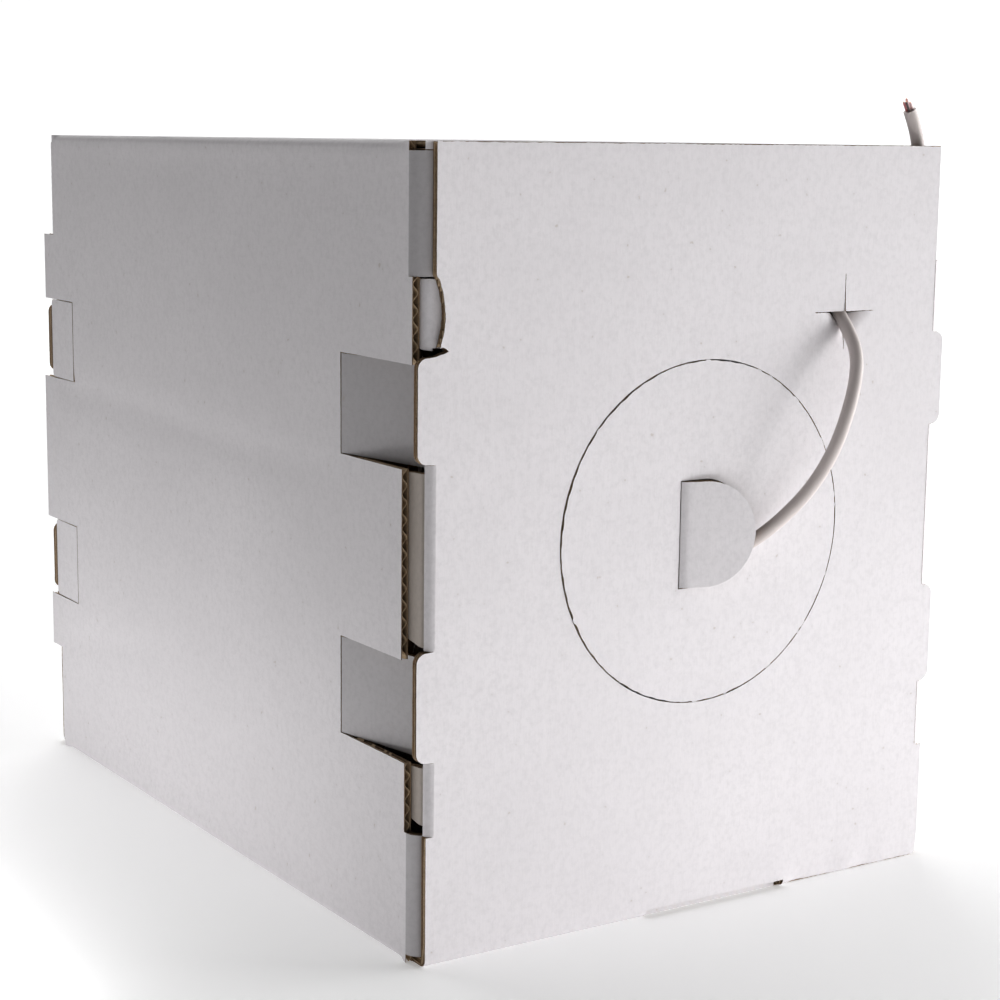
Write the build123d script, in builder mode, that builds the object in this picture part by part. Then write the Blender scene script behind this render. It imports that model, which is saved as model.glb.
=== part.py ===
from build123d import *
from math import cos, radians, sin, tan
import os

# Cable spool box: a corrugated dispenser carton with a spool of network cable on an axle inside.
# Millimetres. X runs to the right, Y from the front to the back, Z up.
# The origin is the centre of the bottom panel's underside.

# Carton
WIDTH = 250.0
DEPTH = 354.0
HEIGHT = 300.0
BOARD = 3.0
FOLD_RADIUS = 6.0
CLOSING_GAP = 0.3
KERF = 0.3

# Side walls: corner flanges at the top and bottom, lock tabs, and a middle band between the tabs
LOWER_FLANGE_TOP = 50.0
UPPER_FLANGE_BOTTOM = HEIGHT - 47.0
FLANGE_LENGTH = 20.0
FLANGE_LENGTH_AT_CABLE = 7.5
TAB_BANDS = {"lower": (76.0, 114.0), "upper": (HEIGHT - 116.0, HEIGHT - 78.0)}
TAB_CREASE = {"front": 59.0, "back": 31.0}
TAB_END = {"front": BOARD + 3.0, "back": BOARD + 0.6}
TAB_PUSHED_IN = {"front": 10.0, "back": 1.0}
TAB_SLIT = 0.4
TAB_CORNER = 2.0
MIDDLE_SETBACK = {"front": 13.5, "back": -6.0}
LOWER_SETBACK = {"front": 10.8, "back": -3.0}
UPPER_SETBACK = {"front": 6.5, "back": -3.0}

# Front and back panels
EAR_BANDS = {"lower": (78.0, 119.0), "upper": (HEIGHT - 113.0, HEIGHT - 75.0)}
BACK_EAR_INSET = 2.5
EAR_PROUD = {
    ("left", "front"): 1.4,
    ("right", "front"): -0.5,
    ("left", "back"): 0.0,
    ("right", "back"): 0.0,
}
EAR_CORNER = 4.0
EAR_ROOT = 20.0
EDGE_INSET_LOW = 2.8
EDGE_INSET_CREASE = BOARD + CLOSING_GAP
EDGE_INSET_TORN = 8.0
EDGE_INSET_TOP = 6.0
TORN_TOP = HEIGHT - 46.0
HINGE_NOTCH = (-21.0, 48.6)
HINGE_NOTCH_HEIGHT = 3.0

# Tuck fingers, folded back from the panels' side creases
FINGER_LENGTH = 30.0
FINGER_FEET = {
    "lower": LOWER_FLANGE_TOP + 3.0,
    "middle": EAR_BANDS["lower"][1] + 0.5,
    "upper": EAR_BANDS["upper"][1] + 2.0,
}
FINGER_LEAD = 5.0
FINGER_CLEARANCE = 0.6

# Perforated knock-out disc and its D-shaped pull flap
DISC_CENTRE = (2.2, HEIGHT / 2 + 1.7)
DISC_RADIUS = 67.0
DISC_TIE_ANGLES = (5, 62, 90, 140, 205, 268, 318)
DISC_TIE_WIDTH = 1.6
DEE_HINGE_X = -9.4
DEE_ARC_X = 1.6
DEE_RADIUS = 21.0
DEE_LIFT = 17.0

# Cross-slit with four quarter flaps
SLIT_CENTRE = (70.4, HEIGHT - 65.2)
SLIT_HALF_WIDTH = 15.5
SLIT_HALF_HEIGHT = 15.2
SLIT_BEND = {"upper": 28.0, "lower": -28.0}
SLIT_OPEN = 0.8

# Cable outlet cut in the top panel
OUTLET_X = 112.9
OUTLET_WIDTH = 8.0
OUTLET_DEPTH = 7.6

# Glue flap under the top panel
GLUE_FLAP_WIDTH = 30.0
GLUE_FLAP_INSET = 70.0
GLUE_FLAP_CORNER = 8.0

# Spool, axle and cradle boards
AXLE_Z = HEIGHT / 2
AXLE_RADIUS = 16.0
AXLE_WALL = 3.0
AXLE_END_GAP = 0.3
AXLE_FIT = 0.05
HUB_FIT = 0.08
CRADLE_PLIES = 2
CRADLE_LENGTH = 200.0
CRADLE_CORNER = 25.0
SPOOL_SIDE_GAP = 1.4
FLANGE_TOP_GAP = 1.5
FLANGE_RADIUS = HEIGHT / 2 - 2 * BOARD - FLANGE_TOP_GAP
FLANGE_THICKNESS = 4.0
BARREL_RADIUS = 50.0
BARREL_WALL = 4.0
HUB_WALL = 5.92
HUB_DISC_RADIUS = 46.0
HUB_DISC_THICKNESS = 3.0
HUB_SLEEVE = 22.0
SEAT_GAP = 0.1
BOLT_COUNT = 3
BOLT_CIRCLE_RADIUS = 34.0
BOLT_RADIUS = 3.0
BOLT_HOLE_RADIUS = 3.2
NUT_RADIUS = 5.5
NUT_HEIGHT = 3.6
FLANGE_PROUD = 17.5
WINDING_RADIUS = FLANGE_RADIUS - FLANGE_PROUD
WINDING_GAP = 0.3

# Cable: millimetres across the width, behind the front panel's face, and up
CABLE_DIAMETER = 5.3
CABLE_POINTS = [
    (-30.0, 72.2, 76.6),
    (-29.7, 63.5, 89.0),
    (-28.5, 53.0, 100.5),
    (-26.0, 40.5, 110.5),
    (-21.0, 28.0, 119.0),
    (-13.5, 16.5, 127.0),
    (-3.5, 7.8, 134.0),
    (9.0, 2.4, 140.0),
    (21.6, -3.2, 145.5),
    (33.8, -9.0, 155.7),
    (43.5, -14.5, 168.0),
    (51.0, -17.8, 181.5),
    (57.5, -18.0, 196.0),
    (64.0, -15.3, 210.0),
    (68.6, -9.5, 223.0),
    (70.4, 1.4, 234.8),
    (72.0, 7.6, 245.8),
    (78.0, 9.0, 256.5),
    (88.0, 9.0, 264.5),
    (100.5, 8.6, 271.5),
    (109.0, 8.0, 280.5),
    (113.3, 7.5, 291.5),
    (112.6, 7.0, 303.5),
    (107.2, 7.0, 314.0),
]
CONDUCTOR_DIAMETER = 1.1
CONDUCTOR_LENGTHS = (5.2, 4.4, 4.8, 3.6)
CONDUCTOR_CIRCLE = 1.2
ARC_SHARE = 0.45

FRONT = -DEPTH / 2
SIDES = {"left": -1, "right": 1}
ENDS = {"front": -1, "back": 1}
INNER_X = WIDTH / 2 - BOARD
FINGER_X = INNER_X - CLOSING_GAP
PANEL_BACK = BOARD + CLOSING_GAP
CRADLE_FACE = INNER_X - CRADLE_PLIES * BOARD
SPOOL_HALF_WIDTH = CRADLE_FACE - SPOOL_SIDE_GAP - NUT_HEIGHT - HUB_DISC_THICKNESS
HUB_RADIUS = AXLE_RADIUS + HUB_FIT + HUB_WALL


def save(part, label):
    """Label a finished piece and write it."""
    part.label = label
    export_step(part, f"parts/{label}.step")


def depth_at(end, inward):
    """The Y that lies a distance inside the front or back panel's outer face."""
    return ENDS[end] * (DEPTH / 2 - inward)


# ---------------------------------------------------------------- carton sleeve


def wall_steps(end):
    """A side wall's edge from the bottom up, as (lower z, upper z, distance inside the end)."""
    lower, upper = TAB_BANDS["lower"], TAB_BANDS["upper"]
    fold = PANEL_BACK + FOLD_RADIUS
    return [
        (0, LOWER_FLANGE_TOP, fold),
        (LOWER_FLANGE_TOP, lower[0], LOWER_SETBACK[end]),
        (lower[0], lower[1], TAB_CREASE[end]),
        (lower[1], upper[0], MIDDLE_SETBACK[end]),
        (upper[0], upper[1], TAB_CREASE[end]),
        (upper[1], UPPER_FLANGE_BOTTOM, UPPER_SETBACK[end]),
        (UPPER_FLANGE_BOTTOM, HEIGHT, fold),
    ]


def wall_outline():
    front = [(depth_at("front", y), z) for z0, z1, y in wall_steps("front") for z in (z0, z1)]
    back = [(depth_at("back", y), z) for z0, z1, y in wall_steps("back") for z in (z0, z1)]
    return front + back[::-1]


def flange_length(side, end, level):
    if (side, end, level) == ("right", "front", "upper"):
        return FLANGE_LENGTH_AT_CABLE
    return FLANGE_LENGTH


def make_wall(side):
    """A side wall with its four corner flanges folded in behind the end panels.

    The flanges stop short of the top and bottom panels, which lie over their ends.
    """
    s = SIDES[side]
    levels = {
        "lower": (PANEL_BACK, LOWER_FLANGE_TOP),
        "upper": (UPPER_FLANGE_BOTTOM, HEIGHT - PANEL_BACK),
    }
    with BuildPart() as wall:
        with BuildSketch(Plane.YZ.offset(s * WIDTH / 2)):
            Polygon(*wall_outline())
        extrude(amount=-s * BOARD)
        long_edges = wall.edges().filter_by(Axis.Y).filter_by(lambda edge: edge.length > DEPTH / 2)
        fillet(long_edges.filter_by(lambda edge: abs(edge.center().X) > INNER_X + 0.01), BOARD - 0.5)
        for end, e in ENDS.items():
            for level, (low, high) in levels.items():
                bend_x = s * (WIDTH / 2 - FOLD_RADIUS)
                bend_y = depth_at(end, PANEL_BACK + FOLD_RADIUS)
                straight = flange_length(side, end, level) - FOLD_RADIUS
                with BuildSketch(Plane.XY.offset(low)):
                    with Locations((bend_x, bend_y)):
                        Circle(FOLD_RADIUS)
                        Circle(FOLD_RADIUS - BOARD, mode=Mode.SUBTRACT)
                        Rectangle(
                            FOLD_RADIUS,
                            FOLD_RADIUS,
                            align=(Align.MIN if s > 0 else Align.MAX, Align.MIN if e > 0 else Align.MAX),
                            mode=Mode.INTERSECT,
                        )
                    with Locations((bend_x, bend_y + e * (FOLD_RADIUS - BOARD / 2))):
                        Rectangle(straight, BOARD, align=(Align.MAX if s > 0 else Align.MIN, Align.CENTER))
                extrude(amount=high - low)
    save(wall.part, f"{side}_wall")


def make_top_panel():
    depth = DEPTH - 2 * PANEL_BACK
    with BuildPart() as top_panel:
        with BuildSketch(Plane.XY.offset(HEIGHT - BOARD)):
            Rectangle(2 * INNER_X, depth)
            with Locations((OUTLET_X, FRONT + PANEL_BACK)):
                Rectangle(OUTLET_WIDTH, 2 * OUTLET_DEPTH, mode=Mode.SUBTRACT)
        extrude(amount=BOARD)
    save(top_panel.part, "top_panel")


def make_bottom_panel():
    depth = DEPTH - 2 * PANEL_BACK
    with BuildPart() as bottom_panel:
        with BuildSketch():
            Rectangle(2 * INNER_X, depth)
        extrude(amount=BOARD)
    save(bottom_panel.part, "bottom_panel")


def make_glue_flap():
    with BuildPart() as glue_flap:
        with BuildSketch(Plane.XY.offset(HEIGHT - 2 * BOARD)) as outline:
            with Locations((-INNER_X, 0)):
                Rectangle(GLUE_FLAP_WIDTH, DEPTH - 2 * GLUE_FLAP_INSET, align=(Align.MIN, Align.CENTER))
            chamfer(outline.vertices().group_by(Axis.X)[-1], GLUE_FLAP_CORNER)
        extrude(amount=BOARD)
    save(glue_flap.part, "glue_flap")


def make_lock_tab(side, end, level):
    """A tab in the side wall, cut on three sides and pushed in about its crease."""
    s, e = SIDES[side], ENDS[end]
    low, high = TAB_BANDS[level]
    pushed = radians(TAB_PUSHED_IN[end])
    length = TAB_CREASE[end] - TAB_END[end]
    tab_plane = Plane(
        origin=(s * INNER_X, depth_at(end, TAB_CREASE[end]), (low + high) / 2),
        x_dir=(-s * sin(pushed), e * cos(pushed), 0),
        z_dir=(s * cos(pushed), e * sin(pushed), 0),
    )
    with BuildPart() as tab:
        with BuildSketch(tab_plane) as outline:
            with Locations((TAB_SLIT, 0)):
                Rectangle(length - TAB_SLIT, high - low - 2 * TAB_SLIT, align=(Align.MIN, Align.CENTER))
            fillet(outline.vertices().group_by(Axis.X)[-1], TAB_CORNER)
        extrude(amount=BOARD)
    save(tab.part, f"lock_tab_{side}_{end}_{level}")


# ---------------------------------------------------------------- end panels


def panel_steps(side, end):
    """An end panel's side edge without its ears, as (lower z, upper z, distance from the middle)."""
    half = WIDTH / 2
    torn = EDGE_INSET_TORN if (side, end) == ("left", "front") else EDGE_INSET_CREASE
    return [
        (0, LOWER_FLANGE_TOP, half - EDGE_INSET_LOW),
        (LOWER_FLANGE_TOP, EAR_BANDS["upper"][1], half - EDGE_INSET_CREASE),
        (EAR_BANDS["upper"][1], TORN_TOP, half - torn),
        (TORN_TOP, HEIGHT, half - EDGE_INSET_TOP),
    ]


def ear_band(end, level):
    """The lowest and highest z of an ear. A back ear sits within the wall's window."""
    if end == "front":
        return EAR_BANDS[level]
    low, high = TAB_BANDS[level]
    return low + BACK_EAR_INSET, high - BACK_EAR_INSET


def draw_panel(end):
    """The outline of a front or back panel, with its rounded ears and the notch in its bottom crease."""
    right = [(x, z) for z0, z1, x in panel_steps("right", end) for z in (z0, z1)]
    left = [(-x, z) for z0, z1, x in panel_steps("left", end) for z in (z0, z1)]
    points = right + left[::-1]
    Polygon(*[p for i, p in enumerate(points) if p != points[i - 1]])
    for side, s in SIDES.items():
        for level in EAR_BANDS:
            low, high = ear_band(end, level)
            with Locations((s * (WIDTH / 2 + EAR_PROUD[side, end] - EAR_ROOT / 2), (low + high) / 2)):
                RectangleRounded(EAR_ROOT, high - low, EAR_CORNER)
    with Locations(((HINGE_NOTCH[0] + HINGE_NOTCH[1]) / 2, HINGE_NOTCH_HEIGHT / 2)):
        Rectangle(HINGE_NOTCH[1] - HINGE_NOTCH[0], HINGE_NOTCH_HEIGHT, mode=Mode.SUBTRACT)


def make_front_panel():
    with BuildPart() as front_panel:
        with BuildSketch(Plane.XZ.offset(DEPTH / 2)):
            draw_panel("front")
            with Locations(DISC_CENTRE):
                Circle(DISC_RADIUS + KERF / 2, mode=Mode.SUBTRACT)
            with Locations(SLIT_CENTRE):
                Polygon(
                    (-SLIT_HALF_WIDTH, 0),
                    (0, -SLIT_HALF_HEIGHT),
                    (SLIT_HALF_WIDTH, 0),
                    (0, SLIT_HALF_HEIGHT),
                    mode=Mode.SUBTRACT,
                )
        extrude(amount=-BOARD)
    save(front_panel.part, "front_panel")


def make_back_panel():
    with BuildPart() as back_panel:
        with BuildSketch(Plane.XZ.offset(-DEPTH / 2)):
            draw_panel("back")
        extrude(amount=BOARD)
    save(back_panel.part, "back_panel")


def make_tuck(side, end):
    """Three fingers that fold back from a panel's side crease into the wall.

    Each finger's top follows an arc about the panel's bottom crease, so it swings out under the tab above it.
    """
    s, e = SIDES[side], ENDS[end]
    ceilings = {
        "lower": TAB_BANDS["lower"][0],
        "middle": TAB_BANDS["upper"][0],
        "upper": UPPER_FLANGE_BOTTOM,
    }
    root = BOARD + KERF
    with BuildPart() as tuck:
        for name, foot in FINGER_FEET.items():
            tip_foot = foot + FINGER_LEAD
            with BuildSketch(Plane.YZ.offset(s * FINGER_X)):
                Polygon(
                    (depth_at(end, root), foot),
                    (depth_at(end, FINGER_LENGTH), tip_foot),
                    (depth_at(end, FINGER_LENGTH), ceilings[name]),
                    (depth_at(end, root), ceilings[name]),
                )
                with Locations((e * DEPTH / 2, 0)):
                    Circle(ceilings[name] - FINGER_CLEARANCE, mode=Mode.INTERSECT)
            extrude(amount=-s * BOARD)
    save(tuck.part, f"{end}_tuck_{side}")


# ---------------------------------------------------------------- openings in the front panel


def draw_dee(inset):
    """The D-shaped outline about its straight edge's middle, shrunk by an inset all round."""
    arc_x = DEE_ARC_X - DEE_HINGE_X
    radius = DEE_RADIUS - inset
    with Locations((arc_x, 0)):
        Circle(radius)
        Rectangle(arc_x, 2 * radius, align=(Align.MAX, Align.CENTER))
    with Locations((inset, 0)):
        Rectangle(arc_x + DEE_RADIUS, 2 * radius, align=(Align.MIN, Align.CENTER), mode=Mode.INTERSECT)


def make_knockout_disc():
    disc_plane = Plane.XZ.offset(DEPTH / 2)
    with BuildPart() as disc:
        with BuildSketch(disc_plane):
            with Locations(DISC_CENTRE):
                Circle(DISC_RADIUS - KERF / 2)
                for angle in DISC_TIE_ANGLES:
                    with PolarLocations(DISC_RADIUS, 1, start_angle=angle):
                        Rectangle(2 * KERF, DISC_TIE_WIDTH)
                Circle(DISC_RADIUS + KERF / 2, mode=Mode.INTERSECT)
        extrude(amount=-BOARD)
        dee_plane = Plane(
            origin=(DEE_HINGE_X, FRONT, DISC_CENTRE[1]), x_dir=(1, 0, 0), z_dir=(0, -1, 0)
        )
        with BuildSketch(dee_plane):
            draw_dee(0)
        extrude(amount=-BOARD, mode=Mode.SUBTRACT)
    save(disc.part, "knockout_disc")


def make_pull_flap():
    lift = radians(DEE_LIFT)
    flap_plane = Plane(
        origin=(DEE_HINGE_X, FRONT, DISC_CENTRE[1]),
        x_dir=(cos(lift), -sin(lift), 0),
        z_dir=(-sin(lift), -cos(lift), 0),
    )
    with BuildPart() as pull_flap:
        with BuildSketch(flap_plane):
            draw_dee(KERF / 2)
        extrude(amount=-BOARD)
    save(pull_flap.part, "pull_flap")


def make_slit_flap(side, level):
    """A quarter of the cross-slit, bent about the line between two slit ends."""
    s, up = SIDES[side], 1 if level == "upper" else -1
    across = Vector(s * SLIT_HALF_WIDTH, 0, 0)
    along = Vector(0, 0, up * SLIT_HALF_HEIGHT)
    outward = Vector(0, -1, 0)
    hinge = (along - across).normalized()
    to_tip = hinge.cross(outward) * (-s * up)
    bend = radians(SLIT_BEND[level])
    face_y = FRONT if SLIT_BEND[level] > 0 else FRONT + BOARD
    middle = Vector(SLIT_CENTRE[0], face_y, SLIT_CENTRE[1]) + (across + along) * 0.5
    tilted_tip = to_tip * cos(bend) + outward * sin(bend)
    tilted_out = outward * cos(bend) - to_tip * sin(bend)
    flap_plane = Plane(origin=middle, x_dir=tilted_tip.cross(tilted_out), z_dir=tilted_out)
    tip = (across + along) * -0.5
    corners = [(across - along) * 0.5, (along - across) * 0.5]
    x_dir = to_tip.cross(outward)
    room_to_bend = BOARD * abs(sin(bend)) + KERF
    share = 1 - room_to_bend / tip.dot(to_tip)
    points = [(p.dot(x_dir) * share, p.dot(to_tip) * share) for p in [*corners, tip]]
    with BuildPart() as flap:
        with BuildSketch(flap_plane):
            Polygon(*points)
            offset(amount=-SLIT_OPEN / 2, kind=Kind.INTERSECTION, mode=Mode.REPLACE)
        extrude(amount=-BOARD if SLIT_BEND[level] > 0 else BOARD)
    save(flap.part, f"slit_flap_{side}_{level}")


# ---------------------------------------------------------------- spool and its carriers


def make_cradle(side):
    """A doubled board inside the wall, with the hole that carries the axle."""
    s = SIDES[side]
    top = HEIGHT - 2 * BOARD
    with BuildPart() as cradle:
        with BuildSketch(Plane.YZ.offset(s * INNER_X)) as outline:
            with Locations((0, BOARD)):
                Rectangle(CRADLE_LENGTH, top - BOARD, align=(Align.CENTER, Align.MIN))
            chamfer(outline.vertices().group_by(Axis.Y)[-1], CRADLE_CORNER)
            with Locations((0, AXLE_Z)):
                Circle(AXLE_RADIUS + AXLE_FIT, mode=Mode.SUBTRACT)
        extrude(amount=s * (CRADLE_FACE - INNER_X))
    save(cradle.part, f"cradle_board_{side}")


def make_axle():
    half = INNER_X - AXLE_END_GAP
    with BuildPart() as axle:
        with BuildSketch(Plane.YZ.offset(-half)):
            with Locations((0, AXLE_Z)):
                Circle(AXLE_RADIUS)
                Circle(AXLE_RADIUS - AXLE_WALL, mode=Mode.SUBTRACT)
        extrude(amount=2 * half)
    save(axle.part, "axle_tube")


def make_spool_flange(side):
    s = SIDES[side]
    with BuildPart() as flange:
        with BuildSketch(Plane.YZ.offset(s * SPOOL_HALF_WIDTH)):
            with Locations((0, AXLE_Z)):
                Circle(FLANGE_RADIUS)
                Circle(HUB_RADIUS + SEAT_GAP, mode=Mode.SUBTRACT)
                with PolarLocations(BOLT_CIRCLE_RADIUS, BOLT_COUNT, start_angle=90):
                    Circle(BOLT_HOLE_RADIUS, mode=Mode.SUBTRACT)
        extrude(amount=-s * FLANGE_THICKNESS)
    save(flange.part, f"spool_flange_{side}")


def make_hub(side):
    """A bush through the spool flange, with a disc that the tie bolts clamp."""
    s = SIDES[side]
    with BuildPart() as hub:
        with BuildSketch(Plane.YZ.offset(s * SPOOL_HALF_WIDTH)):
            with Locations((0, AXLE_Z)):
                Circle(HUB_DISC_RADIUS)
                with PolarLocations(BOLT_CIRCLE_RADIUS, BOLT_COUNT, start_angle=90):
                    Circle(BOLT_HOLE_RADIUS, mode=Mode.SUBTRACT)
        extrude(amount=s * HUB_DISC_THICKNESS)
        with BuildSketch(Plane.YZ.offset(s * SPOOL_HALF_WIDTH)):
            with Locations((0, AXLE_Z)):
                Circle(HUB_RADIUS)
        extrude(amount=-s * HUB_SLEEVE)
        with BuildSketch(Plane.YZ.offset(s * (SPOOL_HALF_WIDTH + HUB_DISC_THICKNESS))):
            with Locations((0, AXLE_Z)):
                Circle(AXLE_RADIUS + HUB_FIT)
        extrude(amount=-s * (HUB_DISC_THICKNESS + HUB_SLEEVE), mode=Mode.SUBTRACT)
    save(hub.part, f"hub_bush_{side}")


def make_barrel():
    half = SPOOL_HALF_WIDTH - FLANGE_THICKNESS
    with BuildPart() as barrel:
        with BuildSketch(Plane.YZ.offset(-half)):
            with Locations((0, AXLE_Z)):
                Circle(BARREL_RADIUS)
                Circle(BARREL_RADIUS - BARREL_WALL, mode=Mode.SUBTRACT)
        extrude(amount=2 * half)
    save(barrel.part, "spool_barrel")


def make_winding():
    half = SPOOL_HALF_WIDTH - FLANGE_THICKNESS - WINDING_GAP
    with BuildPart() as winding:
        with BuildSketch(Plane.YZ.offset(-half)):
            with Locations((0, AXLE_Z)):
                Circle(WINDING_RADIUS)
                Circle(BARREL_RADIUS + WINDING_GAP, mode=Mode.SUBTRACT)
        extrude(amount=2 * half)
    save(winding.part, "cable_winding")


def make_bolts_and_nuts():
    """Three tie bolts with their heads on the left hub and nuts on the right one."""
    face = SPOOL_HALF_WIDTH + HUB_DISC_THICKNESS
    shank_end = face + NUT_HEIGHT
    with BuildPart() as bolts:
        with BuildSketch(Plane.YZ.offset(-face)):
            with Locations((0, AXLE_Z)):
                with PolarLocations(BOLT_CIRCLE_RADIUS, BOLT_COUNT, start_angle=90):
                    Circle(BOLT_RADIUS)
        extrude(amount=face + shank_end)
        with BuildSketch(Plane.YZ.offset(-face)):
            with Locations((0, AXLE_Z)):
                with PolarLocations(BOLT_CIRCLE_RADIUS, BOLT_COUNT, start_angle=90):
                    RegularPolygon(NUT_RADIUS, 6)
        extrude(amount=-NUT_HEIGHT)
    save(bolts.part, "tie_bolts")
    with BuildPart() as nuts:
        with BuildSketch(Plane.YZ.offset(face)):
            with Locations((0, AXLE_Z)):
                with PolarLocations(BOLT_CIRCLE_RADIUS, BOLT_COUNT, start_angle=90):
                    RegularPolygon(NUT_RADIUS, 6)
                    Circle(BOLT_RADIUS + SEAT_GAP, mode=Mode.SUBTRACT)
        extrude(amount=NUT_HEIGHT)
    save(nuts.part, "tie_nuts")


# ---------------------------------------------------------------- cable


def cable_route():
    return [Vector(x, FRONT + y, z) for x, y, z in CABLE_POINTS]


def corner_radii(points):
    """The largest arc at each corner that leaves a tenth of its shorter run straight."""
    radii = []
    for before, here, after in zip(points, points[1:], points[2:]):
        arriving, leaving = here - before, after - here
        half_turn = radians(arriving.get_angle(leaving)) / 2
        radii.append(ARC_SHARE * min(arriving.length, leaving.length) / tan(half_turn))
    return radii


def make_cable():
    points = cable_route()
    radii = corner_radii(points)
    with BuildPart() as cable:
        with BuildLine() as path:
            FilletPolyline(*points, radius=radii)
        with BuildSketch(Plane(origin=points[0], z_dir=points[1] - points[0])):
            Circle(CABLE_DIAMETER / 2)
        sweep()
    length = path.wires()[0].length
    print("cable radii", [round(r, 1) for r in radii])
    print("cable length", round(length, 1), "volume", round(cable.part.volume, 1))
    print("section times length", round(length * 3.14159 * CABLE_DIAMETER**2 / 4, 1))
    save(cable.part, "cable_lead")


def make_conductors():
    """The insulated conductors that stand out of the cable's cut end."""
    points = cable_route()
    end_plane = Plane(origin=points[-1], z_dir=points[-1] - points[-2])
    with BuildPart() as conductors:
        for index, length in enumerate(CONDUCTOR_LENGTHS):
            with BuildSketch(end_plane):
                with PolarLocations(CONDUCTOR_CIRCLE, 1, start_angle=360 * index / len(CONDUCTOR_LENGTHS)):
                    Circle(CONDUCTOR_DIAMETER / 2)
            extrude(amount=length)
    save(conductors.part, "conductors")


os.makedirs("parts", exist_ok=True)
make_top_panel()
make_bottom_panel()
make_glue_flap()
make_front_panel()
make_back_panel()
make_knockout_disc()
make_pull_flap()
make_axle()
make_barrel()
make_winding()
make_bolts_and_nuts()
make_cable()
make_conductors()
for side_name in SIDES:
    make_wall(side_name)
    make_cradle(side_name)
    make_spool_flange(side_name)
    make_hub(side_name)
    for end_name in ENDS:
        make_tuck(side_name, end_name)
        for level_name in TAB_BANDS:
            make_lock_tab(side_name, end_name, level_name)
    for level_name in SLIT_BEND:
        make_slit_flap(side_name, level_name)
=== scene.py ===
import math

import bmesh
import bpy
import numpy as np
from mathutils import Matrix, Vector
from mathutils.geometry import delaunay_2d_cdt


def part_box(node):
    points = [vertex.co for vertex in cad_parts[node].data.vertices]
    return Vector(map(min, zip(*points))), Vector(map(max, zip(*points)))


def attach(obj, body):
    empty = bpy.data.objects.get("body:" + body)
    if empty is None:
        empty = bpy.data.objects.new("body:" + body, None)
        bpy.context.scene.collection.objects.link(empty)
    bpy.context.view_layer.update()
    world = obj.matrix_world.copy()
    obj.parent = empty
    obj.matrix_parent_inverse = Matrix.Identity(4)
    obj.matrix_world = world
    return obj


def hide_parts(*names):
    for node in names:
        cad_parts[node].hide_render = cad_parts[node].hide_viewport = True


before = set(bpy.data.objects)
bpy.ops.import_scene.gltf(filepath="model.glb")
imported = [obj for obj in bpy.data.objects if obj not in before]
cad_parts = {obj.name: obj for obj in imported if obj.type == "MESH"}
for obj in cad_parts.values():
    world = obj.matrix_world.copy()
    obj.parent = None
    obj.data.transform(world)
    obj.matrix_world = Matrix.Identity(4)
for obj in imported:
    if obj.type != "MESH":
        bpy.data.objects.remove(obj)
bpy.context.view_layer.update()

# Millimetres are used for the shapes and turned into metres when a mesh is made.
MM = 0.001
scene = bpy.context.scene


def cad(node):
    """A CAD node's lowest and highest corner, in millimetres."""
    low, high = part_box(node)
    return np.array(low) / MM, np.array(high) / MM


HALF_WIDTH = cad("right_wall")[1][0]
HEIGHT = cad("right_wall")[1][2]
HALF_DEPTH = cad("back_panel")[1][1]
BOARD = cad("bottom_panel")[1][2]
AXLE_Z = HEIGHT / 2
INNER_X = HALF_WIDTH - BOARD
LINER = 0.34
PITCH = 6.3

# ---- camera

camera_data = bpy.data.cameras.new("camera")
camera_data.lens = 77.378
camera_data.sensor_width = 36.0
camera_data.clip_start = 0.05
camera_data.clip_end = 50.0
camera = bpy.data.objects.new("camera", camera_data)
scene.collection.objects.link(camera)
right = Vector((0.8400, -0.5424, 0.0115)).normalized()
forward = Vector((0.5365, 0.8273, -0.1665)).normalized()
up = right.cross(forward).normalized()
right = forward.cross(up).normalized()
camera.matrix_world = Matrix.Translation((-0.5083, -0.8194, 0.3015)) @ Matrix(
    (
        (right.x, up.x, -forward.x),
        (right.y, up.y, -forward.y),
        (right.z, up.z, -forward.z),
    )
).to_4x4()
scene.camera = camera

# ---- materials


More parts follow.
